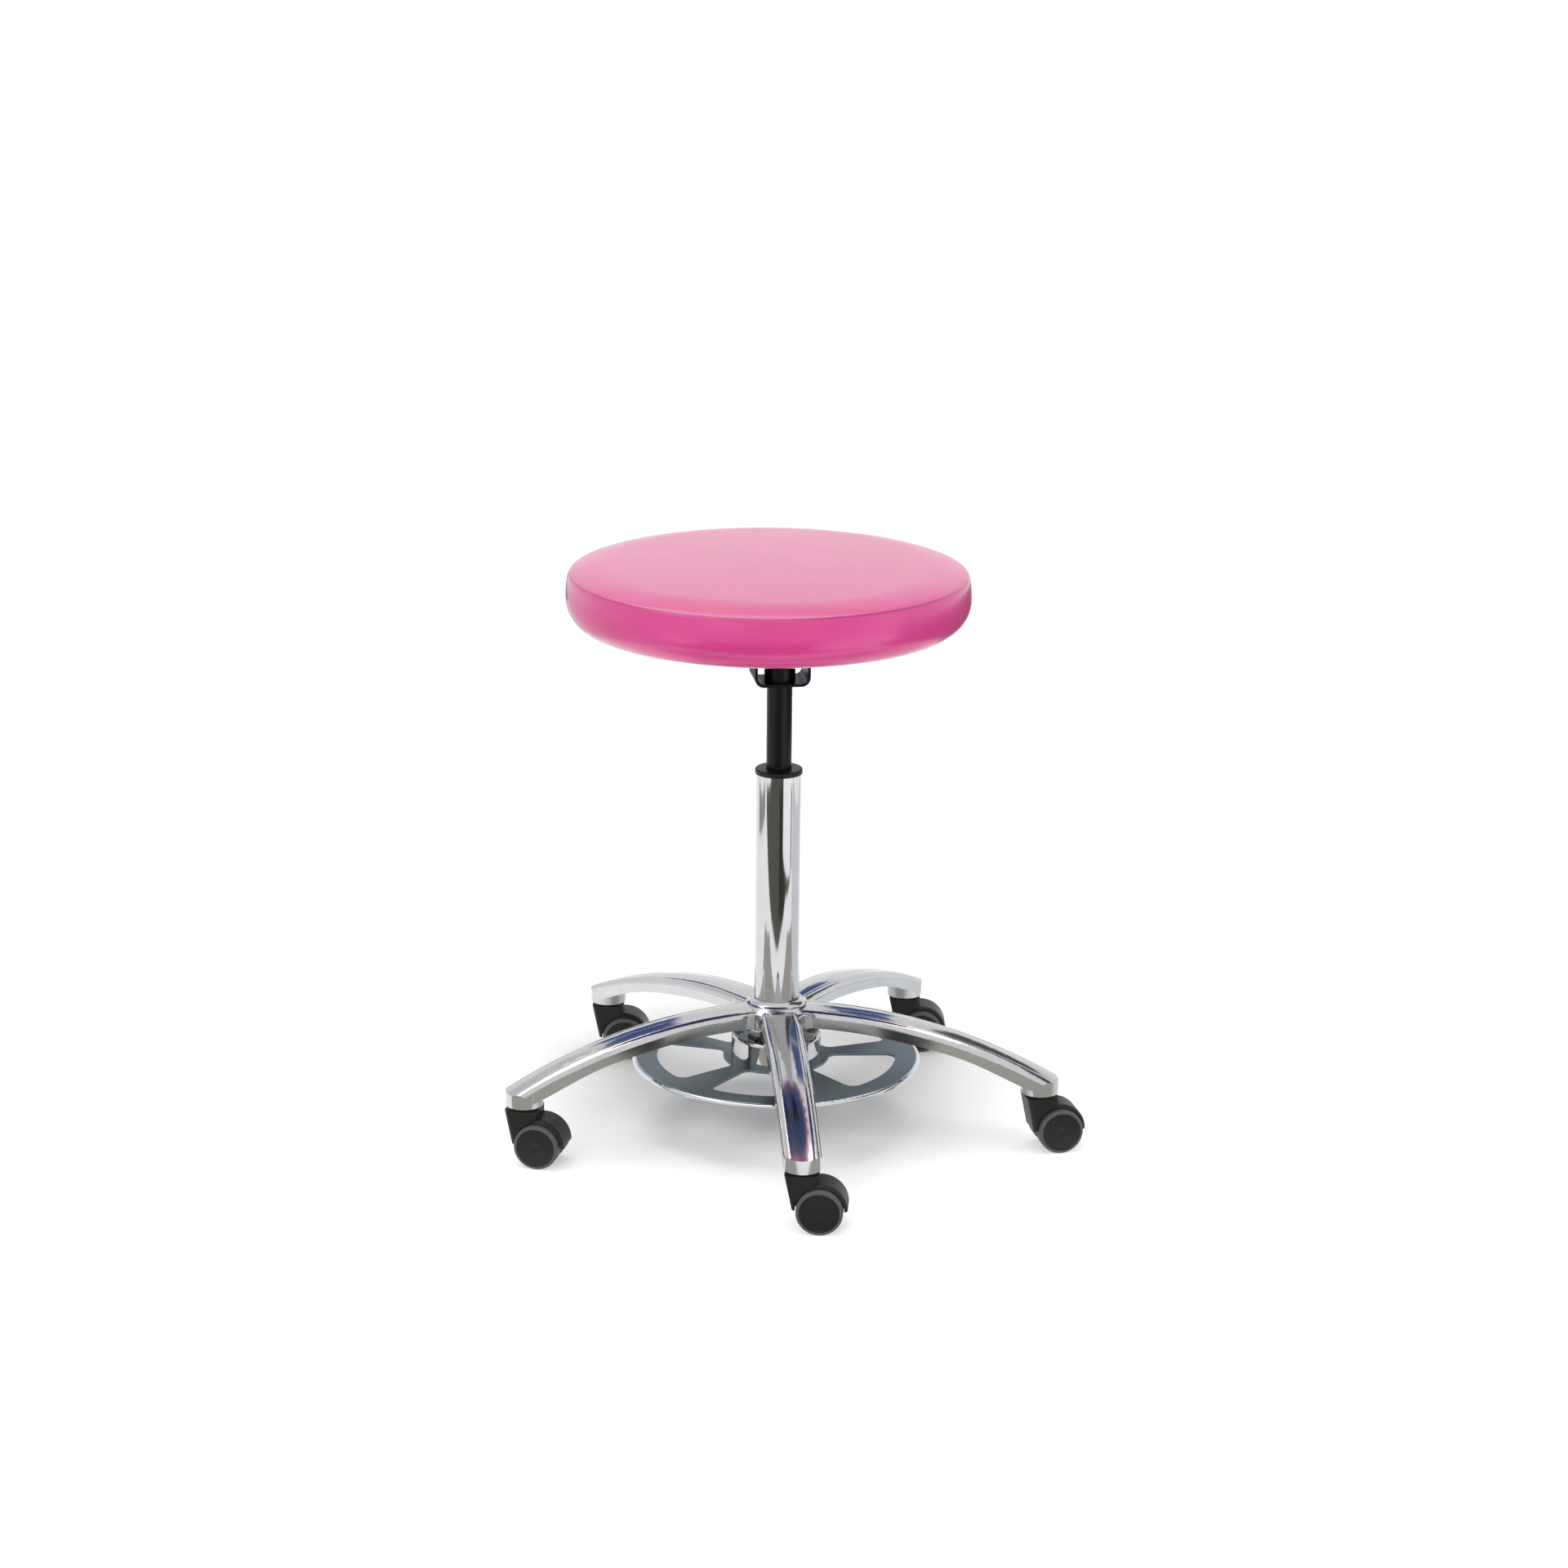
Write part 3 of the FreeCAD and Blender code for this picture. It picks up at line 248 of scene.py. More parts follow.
DISC_GREY = (0.134, 0.176, 0.193)
RIM_BRIGHT = (0.62, 0.64, 0.65)
RIM_WIDTH = 0.0035
RIM_FADE = 0.001
RIM_SHINE = 0.22
FLAKES = 3000
FLAKE_DEPTH = 0.00002
disc_low, disc_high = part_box("foot_disc")
rim_start = (disc_high.x - disc_low.x) / 2 - RIM_WIDTH
disc_finish, disc_shader, shade = new_finish("sprayed_disc", DISC_GREY, roughness=0.3, metallic=1.0)
bare_rim = length_of(shade, stretched_place(shade, (1, 1, 0))).between(rim_start - RIM_FADE, rim_start)
flakes = mottle(shade, FLAKES, detail=1)
feed(disc_shader, "Base Color", blend_colours(shade, bare_rim, DISC_GREY, RIM_BRIGHT))
feed(disc_shader, "Roughness", flakes.spread(0.30, 0.40) - bare_rim * RIM_SHINE)
raise_by(shade, disc_shader, flakes * (1 - bare_rim), FLAKE_DEPTH)
dress(disc_finish, "foot_disc")

ZINC = (0.58, 0.59, 0.60)
ZINC_CLOUDS = 500
zinc_plate, zinc_shader, shade = new_finish("zinc_plate", ZINC, roughness=0.26, metallic=1.0)
feed(zinc_shader, "Roughness", mottle(shade, ZINC_CLOUDS, detail=3).spread(0.2, 0.4))
dress(zinc_plate, "carrier_screws", "disc_screws", "bracket_bolts", "tee_nuts")


# Castors: a black moulded hood that swivels on a steel stem, with a wheel on each side of its web.
# Each wheel is a black moulding with a soft grey tyre pressed on its rim.

HOOD_BLACK = (0.007, 0.007, 0.0073)
WHEEL_BLACK = (0.008, 0.008, 0.0085)
hood_moulding = moulded_plastic("hood_moulding", HOOD_BLACK, roughness=0.42, grain=0.00004)
wheel_moulding = moulded_plastic("wheel_moulding", WHEEL_BLACK, roughness=0.40, grain=0.00003)

TYRE_GREY = (0.077, 0.076, 0.073)
TYRE_DARK = (0.062, 0.061, 0.060)
TYRE_PALE = (0.092, 0.090, 0.086)
TYRE_SCUFFS = 180
SCUFF_DEPTH = 0.00008
tyre_rubber, tyre_shader, shade = new_finish("tyre_rubber", TYRE_GREY, roughness=0.6)
scuffs = mottle(shade, TYRE_SCUFFS, detail=6, roughness=0.7)
feed(tyre_shader, "Base Color", blend_colours(shade, scuffs, TYRE_DARK, TYRE_PALE))
feed(tyre_shader, "Roughness", scuffs.spread(0.5, 0.75))
raise_by(shade, tyre_shader, scuffs, SCUFF_DEPTH)
dress(tyre_rubber, "piston_seal")

CASTORS = 5
for number in range(1, CASTORS + 1):
    castor = f"castor_{number}"
    dress(hood_moulding, f"{castor}_hood")
    dress(turned_steel, f"{castor}_axle")
    for side in ("left", "right"):
        dress(wheel_moulding, f"{castor}_wheel_{side}")
        dress(tyre_rubber, f"{castor}_tyre_{side}")


# Gas spring and seat bracket: a black-lacquered steel cylinder whose tapered end sits in a socket,
# and the bent steel strap that the socket is welded into, sprayed black and bolted to the board.

LACQUER = (0.003, 0.003, 0.0032)
PEEL_DIMPLES = 420
PEEL_DEPTH = 0.00004
black_lacquer, lacquer_shader, shade = new_finish(
    "black_lacquer", LACQUER, roughness=0.3, Specular_IOR_Level=0.22
)
orange_peel = mottle(shade, PEEL_DIMPLES, detail=2)
feed(lacquer_shader, "Roughness", orange_peel.spread(0.26, 0.38))
raise_by(shade, lacquer_shader, orange_peel, PEEL_DEPTH)
dress(black_lacquer, "gas_cylinder", "bracket_socket", "seat_bracket")


# Seat board and lining: a plywood disc with a dark blue cloth stretched and stapled under it.
# The bracket's ears clamp the cloth to the board, and it hangs down a little between them and its edge.

PLY_BROWN = (0.42, 0.27, 0.14)
PLY_PALE = (0.50, 0.34, 0.19)
PLY_DARK = (0.33, 0.20, 0.10)
FIBRE_STRETCH = (30, 400, 400)
FIBRE_DEPTH = 0.0002
plywood, wood_shader, shade = new_finish("plywood", PLY_BROWN, roughness=0.65)
along = stretched_place(shade, FIBRE_STRETCH)
fibres = shade.node("ShaderNodeTexNoise", sockets={"Vector": along, "Scale": 1.0, "Detail": 5.0})
feed(wood_shader, "Base Color", blend_colours(shade, fibres, PLY_PALE, PLY_DARK))
raise_by(shade, wood_shader, fibres, FIBRE_DEPTH)
dress(plywood, "seat_board")


def cells(shade, scale):
    """Small round cells, with about this many to the metre."""
    sockets = {"Vector": place_in(shade), "Scale": scale}
    return shade.node("ShaderNodeTexVoronoi", {"feature": "F1"}, sockets)


LINING_BLUE = (0.036, 0.08, 0.235)
LINING_DARK = (0.030, 0.068, 0.20)
LINING_PALE = (0.042, 0.09, 0.27)
FELT_CELLS = 700.0
FELT_DEPTH = 0.0003
lining_cloth, cloth_shader, shade = new_finish("lining_cloth", LINING_BLUE, roughness=0.85)
felt = cells(shade, FELT_CELLS)
feed(cloth_shader, "Base Color", blend_colours(shade, felt, LINING_DARK, LINING_PALE))
raise_by(shade, cloth_shader, felt, FELT_DEPTH)

AXIS = 1e-6
LINING_THICKNESS = 0.0007
LINING_CLEAR = 0.00005
LINING_SAG = 0.0022
SAG_RUN = 0.035
SAG_PATCHES = 25
LINING_STAPLES = 40
LINING_STEPS = 26
LINING_SEGMENTS = 8 * LINING_STAPLES
EDGE_RIPPLE = 0.0005
EDGE_RUN = 0.030
lining_low, lining_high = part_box("seat_lining")
bracket_low, bracket_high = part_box("seat_bracket")
lining_middle = (lining_low + lining_high) / 2
lining_radius = (lining_high.x - lining_low.x) / 2


def piece_from(name, shape):
    """An object made from a finished bmesh."""
    mesh = bpy.data.meshes.new(name)
    shape.to_mesh(mesh)
    shape.free()
    piece = bpy.data.objects.new(name, mesh)
    bpy.context.scene.collection.objects.link(piece)
    return piece


def spin_outline(name, outline, middle, segments):
    """A round closed skin: an outline of reach and height turned about an upright line."""
    shape = bmesh.new()
    rings = []
    for reach, height in outline:
        count = segments if reach > AXIS else 1
        ring = []
        for step in range(count):
            turn = 2 * math.pi * step / segments
            x = middle.x + reach * math.cos(turn)
            y = middle.y + reach * math.sin(turn)
            ring.append(shape.verts.new((x, y, height)))
        rings.append(ring)
    for lower, upper in zip(rings, rings[1:]):
        for step in range(segments):
            following = (step + 1) % segments
            corners = [lower[step % len(lower)], lower[following % len(lower)]]
            corners += [upper[following % len(upper)], upper[step % len(upper)]]
            shape.faces.new(list(dict.fromkeys(corners)))
    bmesh.ops.recalc_face_normals(shape, faces=shape.faces)
    return piece_from(name, shape)


def smooth_faces(piece):
    for polygon in piece.data.polygons:
        polygon.use_smooth = True


def eased(share):
    """Nought up to nought, one from one on, and smooth in between."""
    share = min(max(share, 0), 1)
    return share * share * (3 - 2 * share)


def cloth_hang(x, y):
    """How far the cloth hangs: not at all under the bracket, and in small ripples between staples."""
    beside = max(bracket_low.x - x, x - bracket_high.x, 0)
    before = max(bracket_low.y - y, y - bracket_high.y, 0)
    reach = math.hypot(x - lining_middle.x, y - lining_middle.y)
    turn = math.atan2(y - lining_middle.y, x - lining_middle.x)
    loose = eased(math.hypot(beside, before) / SAG_RUN) * eased((lining_radius - reach) / SAG_RUN)
    uneven = 1 + noise.noise(Vector((x, y, 0)) * SAG_PATCHES) / 2
    ripple = EDGE_RIPPLE * (1 - math.cos(LINING_STAPLES * turn)) / 2
    return LINING_SAG * loose * uneven + ripple * eased(1 - (lining_radius - reach) / EDGE_RUN)


lining_reaches = [lining_radius * step / LINING_STEPS for step in range(LINING_STEPS + 1)]
lining_under = lining_high.z - LINING_THICKNESS
lining_outline = [(reach, lining_high.z - LINING_CLEAR) for reach in lining_reaches]
lining_outline += [(reach, lining_under) for reach in reversed(lining_reaches)]
lining = spin_outline("lining", lining_outline, lining_middle, LINING_SEGMENTS)
for vertex in lining.data.vertices:
    vertex.co.z -= cloth_hang(vertex.co.x, vertex.co.y)
smooth_faces(lining)
lining.data.materials.append(lining_cloth)
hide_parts("seat_lining")
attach(lining, "seat")

# Wire staples hold the cloth's edge to the board.
STAPLE_SIZE = Vector((0.0012, 0.0105, 0.0007))
STAPLE_ROUND = 0.0002
STAPLE_INSET = 0.007
STAPLE_PROUD = 0.0002


def staple_ring(name, count, reach, middle, height):
    """A ring of wire staples seen from below, each with its back along the ring."""
    shape = bmesh.new()
    size = Matrix.Diagonal((*STAPLE_SIZE, 1))
    shift = Matrix.Translation((middle.x, middle.y, height))
    outwards = Matrix.Translation((reach, 0, 0))
    for step in range(count):
        spin = Matrix.Rotation(2 * math.pi * step / count, 4, "Z")
        bmesh.ops.create_cube(shape, matrix=shift @ spin @ outwards @ size)
    bmesh.ops.bevel(shape, geom=shape.edges[:], offset=STAPLE_ROUND, segments=2, affect="EDGES")
    staples = piece_from(name, shape)
    staples.data.materials.append(zinc_plate)
    return staples


staple_reach = lining_radius - STAPLE_INSET
staple_height = lining_under - STAPLE_PROUD
lining_staples = staple_ring("lining_staples", LINING_STAPLES, staple_reach, lining_middle, staple_height)
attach(lining_staples, "seat")


# Cushion: moulded foam under a pink vinyl cover, sewn from a top disc and a side band.
# The band is drawn under the board and stapled, and the seam runs round the top edge.

cover_low, cover_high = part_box("seat_cover")
board_low, board_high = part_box("seat_board")
cushion_middle = (cover_low + cover_high) / 2
BASE_RADIUS = 0.201
SEAM_RADIUS = 0.2175
SHOULDER_RADIUS = 0.192
WIDEST_RISE = 0.029
SEAM_RISE = 0.056
SHOULDER_RISE = 0.0655
ROLL_RADIUS = 0.060
HEM_WIDTH = 0.022
COVER_THICKNESS = 0.0012
SOFT_GAP = 0.0004
SLACK = 0.0022
RING_STEP = 0.007
SEGMENTS = 160
widest_radius = (cover_high.x - cover_low.x) / 2
board_radius = (board_high.x - board_low.x) / 2 + SOFT_GAP
board_top = board_high.z - cover_low.z + SOFT_GAP
crown = cover_high.z - cover_low.z - SHOULDER_RISE


def arc_points(start, end, radius, count):
    """Points along the arc that bulges outwards from one corner of the outline to the next."""
    start = Vector(start)
    end = Vector(end)
    chord = end - start
    rise = math.sqrt(max(radius * radius - chord.length_squared / 4, 0))
    centre = (start + end) / 2 + Vector((-chord.y, chord.x)).normalized() * rise
    first = math.atan2(start.y - centre.y, start.x - centre.x)
    sweep = 2 * math.asin(min(chord.length / (2 * radius), 1))
    turns = [first + sweep * step / count for step in range(count)]
    return [centre + Vector((math.cos(turn), math.sin(turn))) * radius for turn in turns]


def upright_radius(run, rise):
    """Radius of an arc that stands upright where it is widest."""
    return (run * run + rise * rise) / (2 * run)


def steps_for(start, end):
    return max(2, round((Vector(end) - Vector(start)).length / RING_STEP))


base = (BASE_RADIUS, 0)
widest = (widest_radius, WIDEST_RISE)
seam = (SEAM_RADIUS, SEAM_RISE)
shoulder = (SHOULDER_RADIUS, SHOULDER_RISE - SLACK)
crown_top = (0.0, SHOULDER_RISE + crown - SLACK)
low_arc = upright_radius(widest_radius - BASE_RADIUS, WIDEST_RISE)
high_arc = upright_radius(widest_radius - SEAM_RADIUS, SEAM_RISE - WIDEST_RISE)
crown_arc = upright_radius(crown, SHOULDER_RADIUS)
stapled = [
    (0.0, board_top),
    (board_radius / 2, board_top),
    (board_radius, board_top),
    (board_radius, COVER_THICKNESS + SOFT_GAP),
    (BASE_RADIUS - HEM_WIDTH, COVER_THICKNESS - SOFT_GAP),
    (BASE_RADIUS - HEM_WIDTH, 0),
    (BASE_RADIUS - HEM_WIDTH / 2, 0),
]
outline = [Vector(point) for point in stapled]
outline += arc_points(base, widest, low_arc, steps_for(base, widest))
outline += arc_points(widest, seam, high_arc, 2 * steps_for(widest, seam))
seam_ring = len(outline)
outline += arc_points(seam, shoulder, ROLL_RADIUS, 2 * steps_for(seam, shoulder))
outline += arc_points(shoulder, crown_top, crown_arc, steps_for(shoulder, crown_top))
outline.append(Vector(crown_top))


def points_on(outline):
    return sum(SEGMENTS if reach > AXIS else 1 for reach, height in outline)


standing = [(reach, cover_low.z + height) for reach, height in outline]
cushion = spin_outline("cushion", standing, cushion_middle, SEGMENTS)

# The cover is held where it is stapled under the board, and the foam swells the rest a little.
SWELL_LIMIT = 0.0025
STILL = 1e-9
PRESSURE = 4.0
STIFFNESS = 60.0
SWELL_QUALITY = 4
SWELL_FRAMES = 20
EVEN_STEPS = 16
held = cushion.vertex_groups.new(name="held")
held.add(list(range(points_on(stapled))), 1.0, "REPLACE")


def swell(piece, group):
    """Blow the piece up by cloth simulation; how each point moves, and none further than the limit."""
    scene = bpy.context.scene
    before = [vertex.co.copy() for vertex in piece.data.vertices]
    cloth = piece.modifiers.new("swell", "CLOTH")
    cloth.settings.use_pressure = True
    cloth.settings.uniform_pressure_force = PRESSURE
    cloth.settings.vertex_group_mass = group.name
    cloth.settings.effector_weights.gravity = 0
    cloth.settings.quality = SWELL_QUALITY
    cloth.settings.tension_stiffness = STIFFNESS
    cloth.settings.compression_stiffness = STIFFNESS
    cloth.settings.shear_stiffness = STIFFNESS
    cloth.settings.bending_stiffness = STIFFNESS
    cloth.collision_settings.use_collision = False
    cloth.point_cache.frame_end = SWELL_FRAMES
    for step in range(1, SWELL_FRAMES + 1):
        scene.frame_set(step)
    evaluated = piece.evaluated_get(bpy.context.evaluated_depsgraph_get())
    after = [vertex.co.copy() for vertex in evaluated.data.vertices]
    piece.modifiers.remove(cloth)
    scene.frame_set(1)
    moves = [new - old for old, new in zip(before, after)]
    return [move * min(1, SWELL_LIMIT / max(move.length, STILL)) for move in moves]


def even_out(moves, first):
    """Spread the moves of one ring of points over their neighbours, as firm foam does."""
    turns = [2 * math.pi * step / SEGMENTS for step in range(SEGMENTS)]
    outwards = [Vector((math.cos(turn), math.sin(turn), 0)) for turn in turns]
    ring = moves[first : first + SEGMENTS]
    out = [move.dot(direction) for move, direction in zip(ring, outwards)]
    for step, direction in enumerate(outwards):
        near = [(step + shift) % SEGMENTS for shift in range(-EVEN_STEPS, EVEN_STEPS + 1)]
        spread = sum(out[place] for place in near) / len(near)
        rise = sum(ring[place].z for place in near) / len(near)
        moves[first + step] = direction * spread + Vector((0, 0, rise))


moves = swell(cushion, held)
first = 0
for corner in outline:
    if corner.x > AXIS:
        even_out(moves, first)
    first += points_on([corner])
for vertex, move in zip(cushion.data.vertices, moves):
    vertex.co += move

seam_start = points_on(outline[:seam_ring])
sewn = [vertex.co for vertex in cushion.data.vertices[seam_start : seam_start + SEGMENTS]]
sewn_radius = sum((point - cushion_middle).to_2d().length for point in sewn) / SEGMENTS
sewn_height = sum(point.z for point in sewn) / SEGMENTS
smoother = cushion.modifiers.new("rounding", "SUBSURF")
smoother.levels = 1
smoother.render_levels = 1
bpy.context.view_layer.objects.active = cushion
cushion.select_set(True)
bpy.ops.object.modifier_apply(modifier=smoother.name)

# The sewn seam pulls the vinyl in along a fine groove and puckers it slightly on both sides.
SEAM_DEPTH = 0.0008
SEAM_WIDTH = 0.0027
PUCKER = 0.0003
PUCKER_WIDTH = 0.010
PUCKERS_ROUND = 34
PUCKERS_UP = 40
for vertex in cushion.data.vertices:
    offset = vertex.co - cushion_middle
    reach_out = math.hypot(offset.x, offset.y)
    away = math.hypot(reach_out - sewn_radius, vertex.co.z - sewn_height)
    if away > 3 * PUCKER_WIDTH or reach_out < SHOULDER_RADIUS / 2:
        continue
    outwards = Vector((offset.x / reach_out, offset.y / reach_out, 0))
    spot = outwards * PUCKERS_ROUND / math.pi
    wave = noise.noise(spot + Vector((0, 0, PUCKERS_UP * vertex.co.z)))
    depth = SEAM_DEPTH * math.exp(-((away / SEAM_WIDTH) ** 2))
    depth += PUCKER * wave * math.exp(-((away / PUCKER_WIDTH) ** 2))
    vertex.co -= outwards * depth
smooth_faces(cushion)

# The vinyl has a pebbled grain with fine creases. A thin line along the seam is painted darker, for the
# thread and for the painted shade in the seam's groove.
VINYL_PINK = (0.595, 0.024, 0.21)
VINYL_DEEP = (0.575, 0.022, 0.200)
VINYL_PALE = (0.615, 0.027, 0.222)
TONE_PATCHES = 14
TONE_EDGES = (0.3, 0.7)
PEBBLES = 850.0
PEBBLE_SHARE = 0.6
CREASES = 320
CREASE_SHARE = 0.4
GRAIN_DEPTH = 0.00012
GRAIN_STRENGTH = 0.5
# The seam line's much darker pink is painted shade standing in for the groove's shade, as well as the
# thread.
SEAM_SHADE_PINK = (0.20, 0.009, 0.07)
SEAM_SHADE_COVER = 0.7
THREAD_SINK = 2.0
THREAD_HALF = 0.0004
THREAD_FADE = 0.0011
THREAD_INNER = 0.008
THREAD_OUTER = 0.006
vinyl, vinyl_shader, shade = new_finish(
    "pink_vinyl", VINYL_PINK, roughness=0.34, IOR=1.5,
    Coat_Weight=0.75, Coat_Roughness=0.2, Coat_IOR=1.5,
)
pebbles = cells(shade, PEBBLES)
creases = mottle(shade, CREASES, detail=4, roughness=0.6)
tone = mottle(shade, TONE_PATCHES, detail=2)
toned = blend_colours(shade, tone.between(*TONE_EDGES), VINYL_DEEP, VINYL_PALE)
feed(vinyl_shader, "Roughness", creases.spread(0.29, 0.39))
from_axis = shade.node(
    "ShaderNodeVectorMath",
    {"operation": "MULTIPLY_ADD"},
    {0: place_in(shade), 1: (1, 1, 0), 2: (-cushion_middle.x, -cushion_middle.y, 0)},
)
from_seam = length_of(shade, from_axis) - sewn_radius
height = shade.node("ShaderNodeSeparateXYZ", sockets={"Vector": place_in(shade)}, output=2)
above_seam = height - sewn_height
near_seam = from_seam.between(-THREAD_INNER, -THREAD_OUTER)
off_seam_line = (above_seam * above_seam).between(THREAD_HALF**2, THREAD_FADE**2)
thread_and_seam_shade = near_seam - near_seam * off_seam_line
# Painted shade: the base colour is darkened along the seam line, for the groove's shade as well as the
# thread.
feed(vinyl_shader, "Base Color", blend_colours(shade, thread_and_seam_shade * SEAM_SHADE_COVER, toned, SEAM_SHADE_PINK))
grain = pebbles * PEBBLE_SHARE + creases * CREASE_SHARE
raise_by(shade, vinyl_shader, grain - thread_and_seam_shade * THREAD_SINK, GRAIN_DEPTH, GRAIN_STRENGTH)
cushion.data.materials.append(vinyl)
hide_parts("seat_cover", "seat_foam")
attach(cushion, "seat")

# Wire staples hold the hem to the board, side by side all the way round.
HEM_STAPLES = 60
STAPLED_SHARE = 0.6
hem_reach = BASE_RADIUS - HEM_WIDTH * STAPLED_SHARE
hem_staples = staple_ring("hem_staples", HEM_STAPLES, hem_reach, cushion_middle, cover_low.z)
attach(hem_staples, "seat")


# Studio: a sheet of white paper as the floor, a white surround, soft lamps, and glowing cards that only
# mirrors see, for painted reflections. The camera stands in front, a little to the left, and looks down at
# the stool.

FLOOR_HALF = 6.0


def flat_board(name, corners):
    """One flat face of the stage."""
    mesh = bpy.data.meshes.new(name)
    mesh.from_pydata(corners, [], [tuple(range(len(corners)))])
    board = bpy.data.objects.new(name, mesh)
    bpy.context.scene.collection.objects.link(board)
    return board


floor_corners = [(-1, -1), (1, -1), (1, 1), (-1, 1)]
floor = flat_board("floor", [(x * FLOOR_HALF, y * FLOOR_HALF, 0) for x, y in floor_corners])


def rays_that_see(shade):
    """One for rays from the camera, from a mirror or through glass, and nought for light."""
    seen = shade.node("ShaderNodeLightPath", output="Is Camera Ray")
    mirrored = shade.node("ShaderNodeLightPath", output="Is Glossy Ray")
    through = shade.node("ShaderNodeLightPath", output="Is Transmission Ray")
    return seen + mirrored + through


def show_white(lit, white, output):
    """Give the lit shader to light, and the white one to the rays that see."""
    sockets = {"Fac": rays_that_see(lit), 1: lit, 2: white}
    feed(lit.tree.nodes[output], "Surface", lit.node("ShaderNodeMixShader", sockets=sockets))


# The paper glows a little more further out, where the lamps reach it less, so it looks white all over.
PAPER = (0.85, 0.85, 0.85)
PAPER_ROUGHNESS = 0.9
SHADED_SPOT = (0, 0.18, 0)
FAR_EDGE = 4.0
GLOW = [(0.16, 0.0), (0.40, 0.44), (1.2, 0.43), (FAR_EDGE, 0.56)]
paper, paper_shader, shade = new_finish("floor_paper", PAPER, PAPER_ROUGHNESS, Specular_IOR_Level=0.0)
from_spot = shade.node(
    "ShaderNodeVectorMath", {"operation": "SUBTRACT"}, {0: place_in(shade), 1: SHADED_SPOT}
)
distance = length_of(shade, from_spot) * (1 / FAR_EDGE)
glow_stops = [(reach / FAR_EDGE, (glow, glow, glow, 1)) for reach, glow in GLOW]
white_paper = shade.node("ShaderNodeBsdfPrincipled", sockets={
    "Base Color": (*PAPER, 1),
    "Roughness": PAPER_ROUGHNESS,
    "Specular IOR Level": 0.0,
    "Emission Color": shade.node("ShaderNodeValToRGB", {"stops": glow_stops}, {"Fac": distance}),
    "Emission Strength": 1.0,
})
show_white(Shade(paper.node_tree, paper_shader.outputs[0]), white_paper, "Material Output")
floor.data.materials.append(paper)

WHITE = (1, 1, 1, 1)
SURROUND_LIGHT = 0.62
world = bpy.data.worlds.new("surround")
world.use_nodes = True
bpy.context.scene.world = world
surround = world.node_tree.nodes["Background"]
surround.inputs["Color"].default_value = WHITE
surround.inputs["Strength"].default_value = SURROUND_LIGHT
lit_surround = Shade(world.node_tree, surround.outputs[0])
white = lit_surround.node("ShaderNodeBackground", sockets={"Color": WHITE, "Strength": 1.0})
show_white(lit_surround, white, "World Output")


def lamp(name, place, target, width, power, mirrored):
    light = bpy.data.lights.new(name, "AREA")
    light.shape = "SQUARE"
    light.size = width
    light.energy = power
    holder = bpy.data.objects.new(name, light)
    holder.location = place
    holder.rotation_euler = (Vector(target) - Vector(place)).to_track_quat("-Z", "Y").to_euler()
    holder.visible_glossy = mirrored
    bpy.context.scene.collection.objects.link(holder)


LEGS = (0, 0, 0.3)
SEAT = (0, 0, 0.5)
lamp("overhead", (-0.5, 0.2, 3.2), LEGS, width=3.0, power=48, mirrored=True)
lamp("front_fill", (-1.6, -3.0, 1.2), SEAT, width=1.6, power=35, mirrored=False)
lamp("right_fill", (2.4, -1.0, 0.9), SEAT, width=1.2, power=16, mirrored=False)

CAMERA_DISTANCE = 3.9966
CAMERA_HEIGHT = 1.5608
CAMERA_PITCH = 0.2832
CAMERA_TURN = math.radians(-5.5)
CAMERA_ROLL = 0.01015
IMAGE_SIZE = 1920
FOCAL_PIXELS = 4642.5
PRINCIPAL_X = 953.56
SENSOR = 36.0
camera_data = bpy.data.cameras.new("camera")
camera_data.sensor_width = SENSOR
camera_data.lens = FOCAL_PIXELS / IMAGE_SIZE * SENSOR
camera_data.shift_x = (IMAGE_SIZE / 2 - PRINCIPAL_X) / IMAGE_SIZE
camera = bpy.data.objects.new("camera", camera_data)
camera.matrix_world = (
    Matrix.Rotation(CAMERA_TURN, 4, "Z")
    @ Matrix.Translation((0, -CAMERA_DISTANCE, CAMERA_HEIGHT))
    @ Matrix.Rotation(math.pi / 2 - CAMERA_PITCH, 4, "X")
    @ Matrix.Rotation(CAMERA_ROLL, 4, "Z")
)
bpy.context.scene.collection.objects.link(camera)
bpy.context.scene.camera = camera
bpy.context.scene.view_settings.view_transform = "Standard"


def card(name, corners, colour):
    """A flat glowing board that only the glossy pieces see: it paints a reflection, lights nothing and casts
    no shadow.
    """
    board = flat_board(name, corners)
    glow = {"Emission_Color": (*colour, 1), "Emission_Strength": 1.0}
    finish = new_finish(name, (0, 0, 0), roughness=1.0, Specular_IOR_Level=0.0, **glow)
    board.data.materials.append(finish[0])
    board.visible_camera = False
    board.visible_diffuse = False
    board.visible_shadow = False


def ground_card(name, places, lift, colour):
    """A card on the floor; each place is degrees to the camera's right, seen from the column, and metres."""
    corners = []
    for turn, reach in places:
        angle = CAMERA_TURN + math.radians(turn)
        corners.append((reach * math.sin(angle), -reach * math.cos(angle), lift))
    card(name, corners, colour)


# Glowing cards on the white floor, seen only in mirrors, paint a dark wedge with a pale streak near its
# right edge into the column's reflection of the floor in front of it.
LOWER_CARD = 0.004
UPPER_CARD = 0.006
DARK_FLOOR_REFLECTION = (0.15, 0.142, 0.125)
DARKEST_FLOOR_REFLECTION = (0.06, 0.057, 0.046)
STREAK_GREY = (0.3, 0.3, 0.3)
LEFT_GREY = (0.45, 0.45, 0.45)
RIGHT_PALE = (0.93, 0.97, 0.99)
dark_left = [(0, 0.64), (-20, 0.715), (-46, 0.917), (-62, 1.27), (-62, 1.40), (-35, 1.45), (-40, 3.2)]
dark_right = [(0, 3.4), (30, 2.9), (24, 1.38), (24, 1.05), (68, 0.965), (39, 0.86), (17, 0.715)]
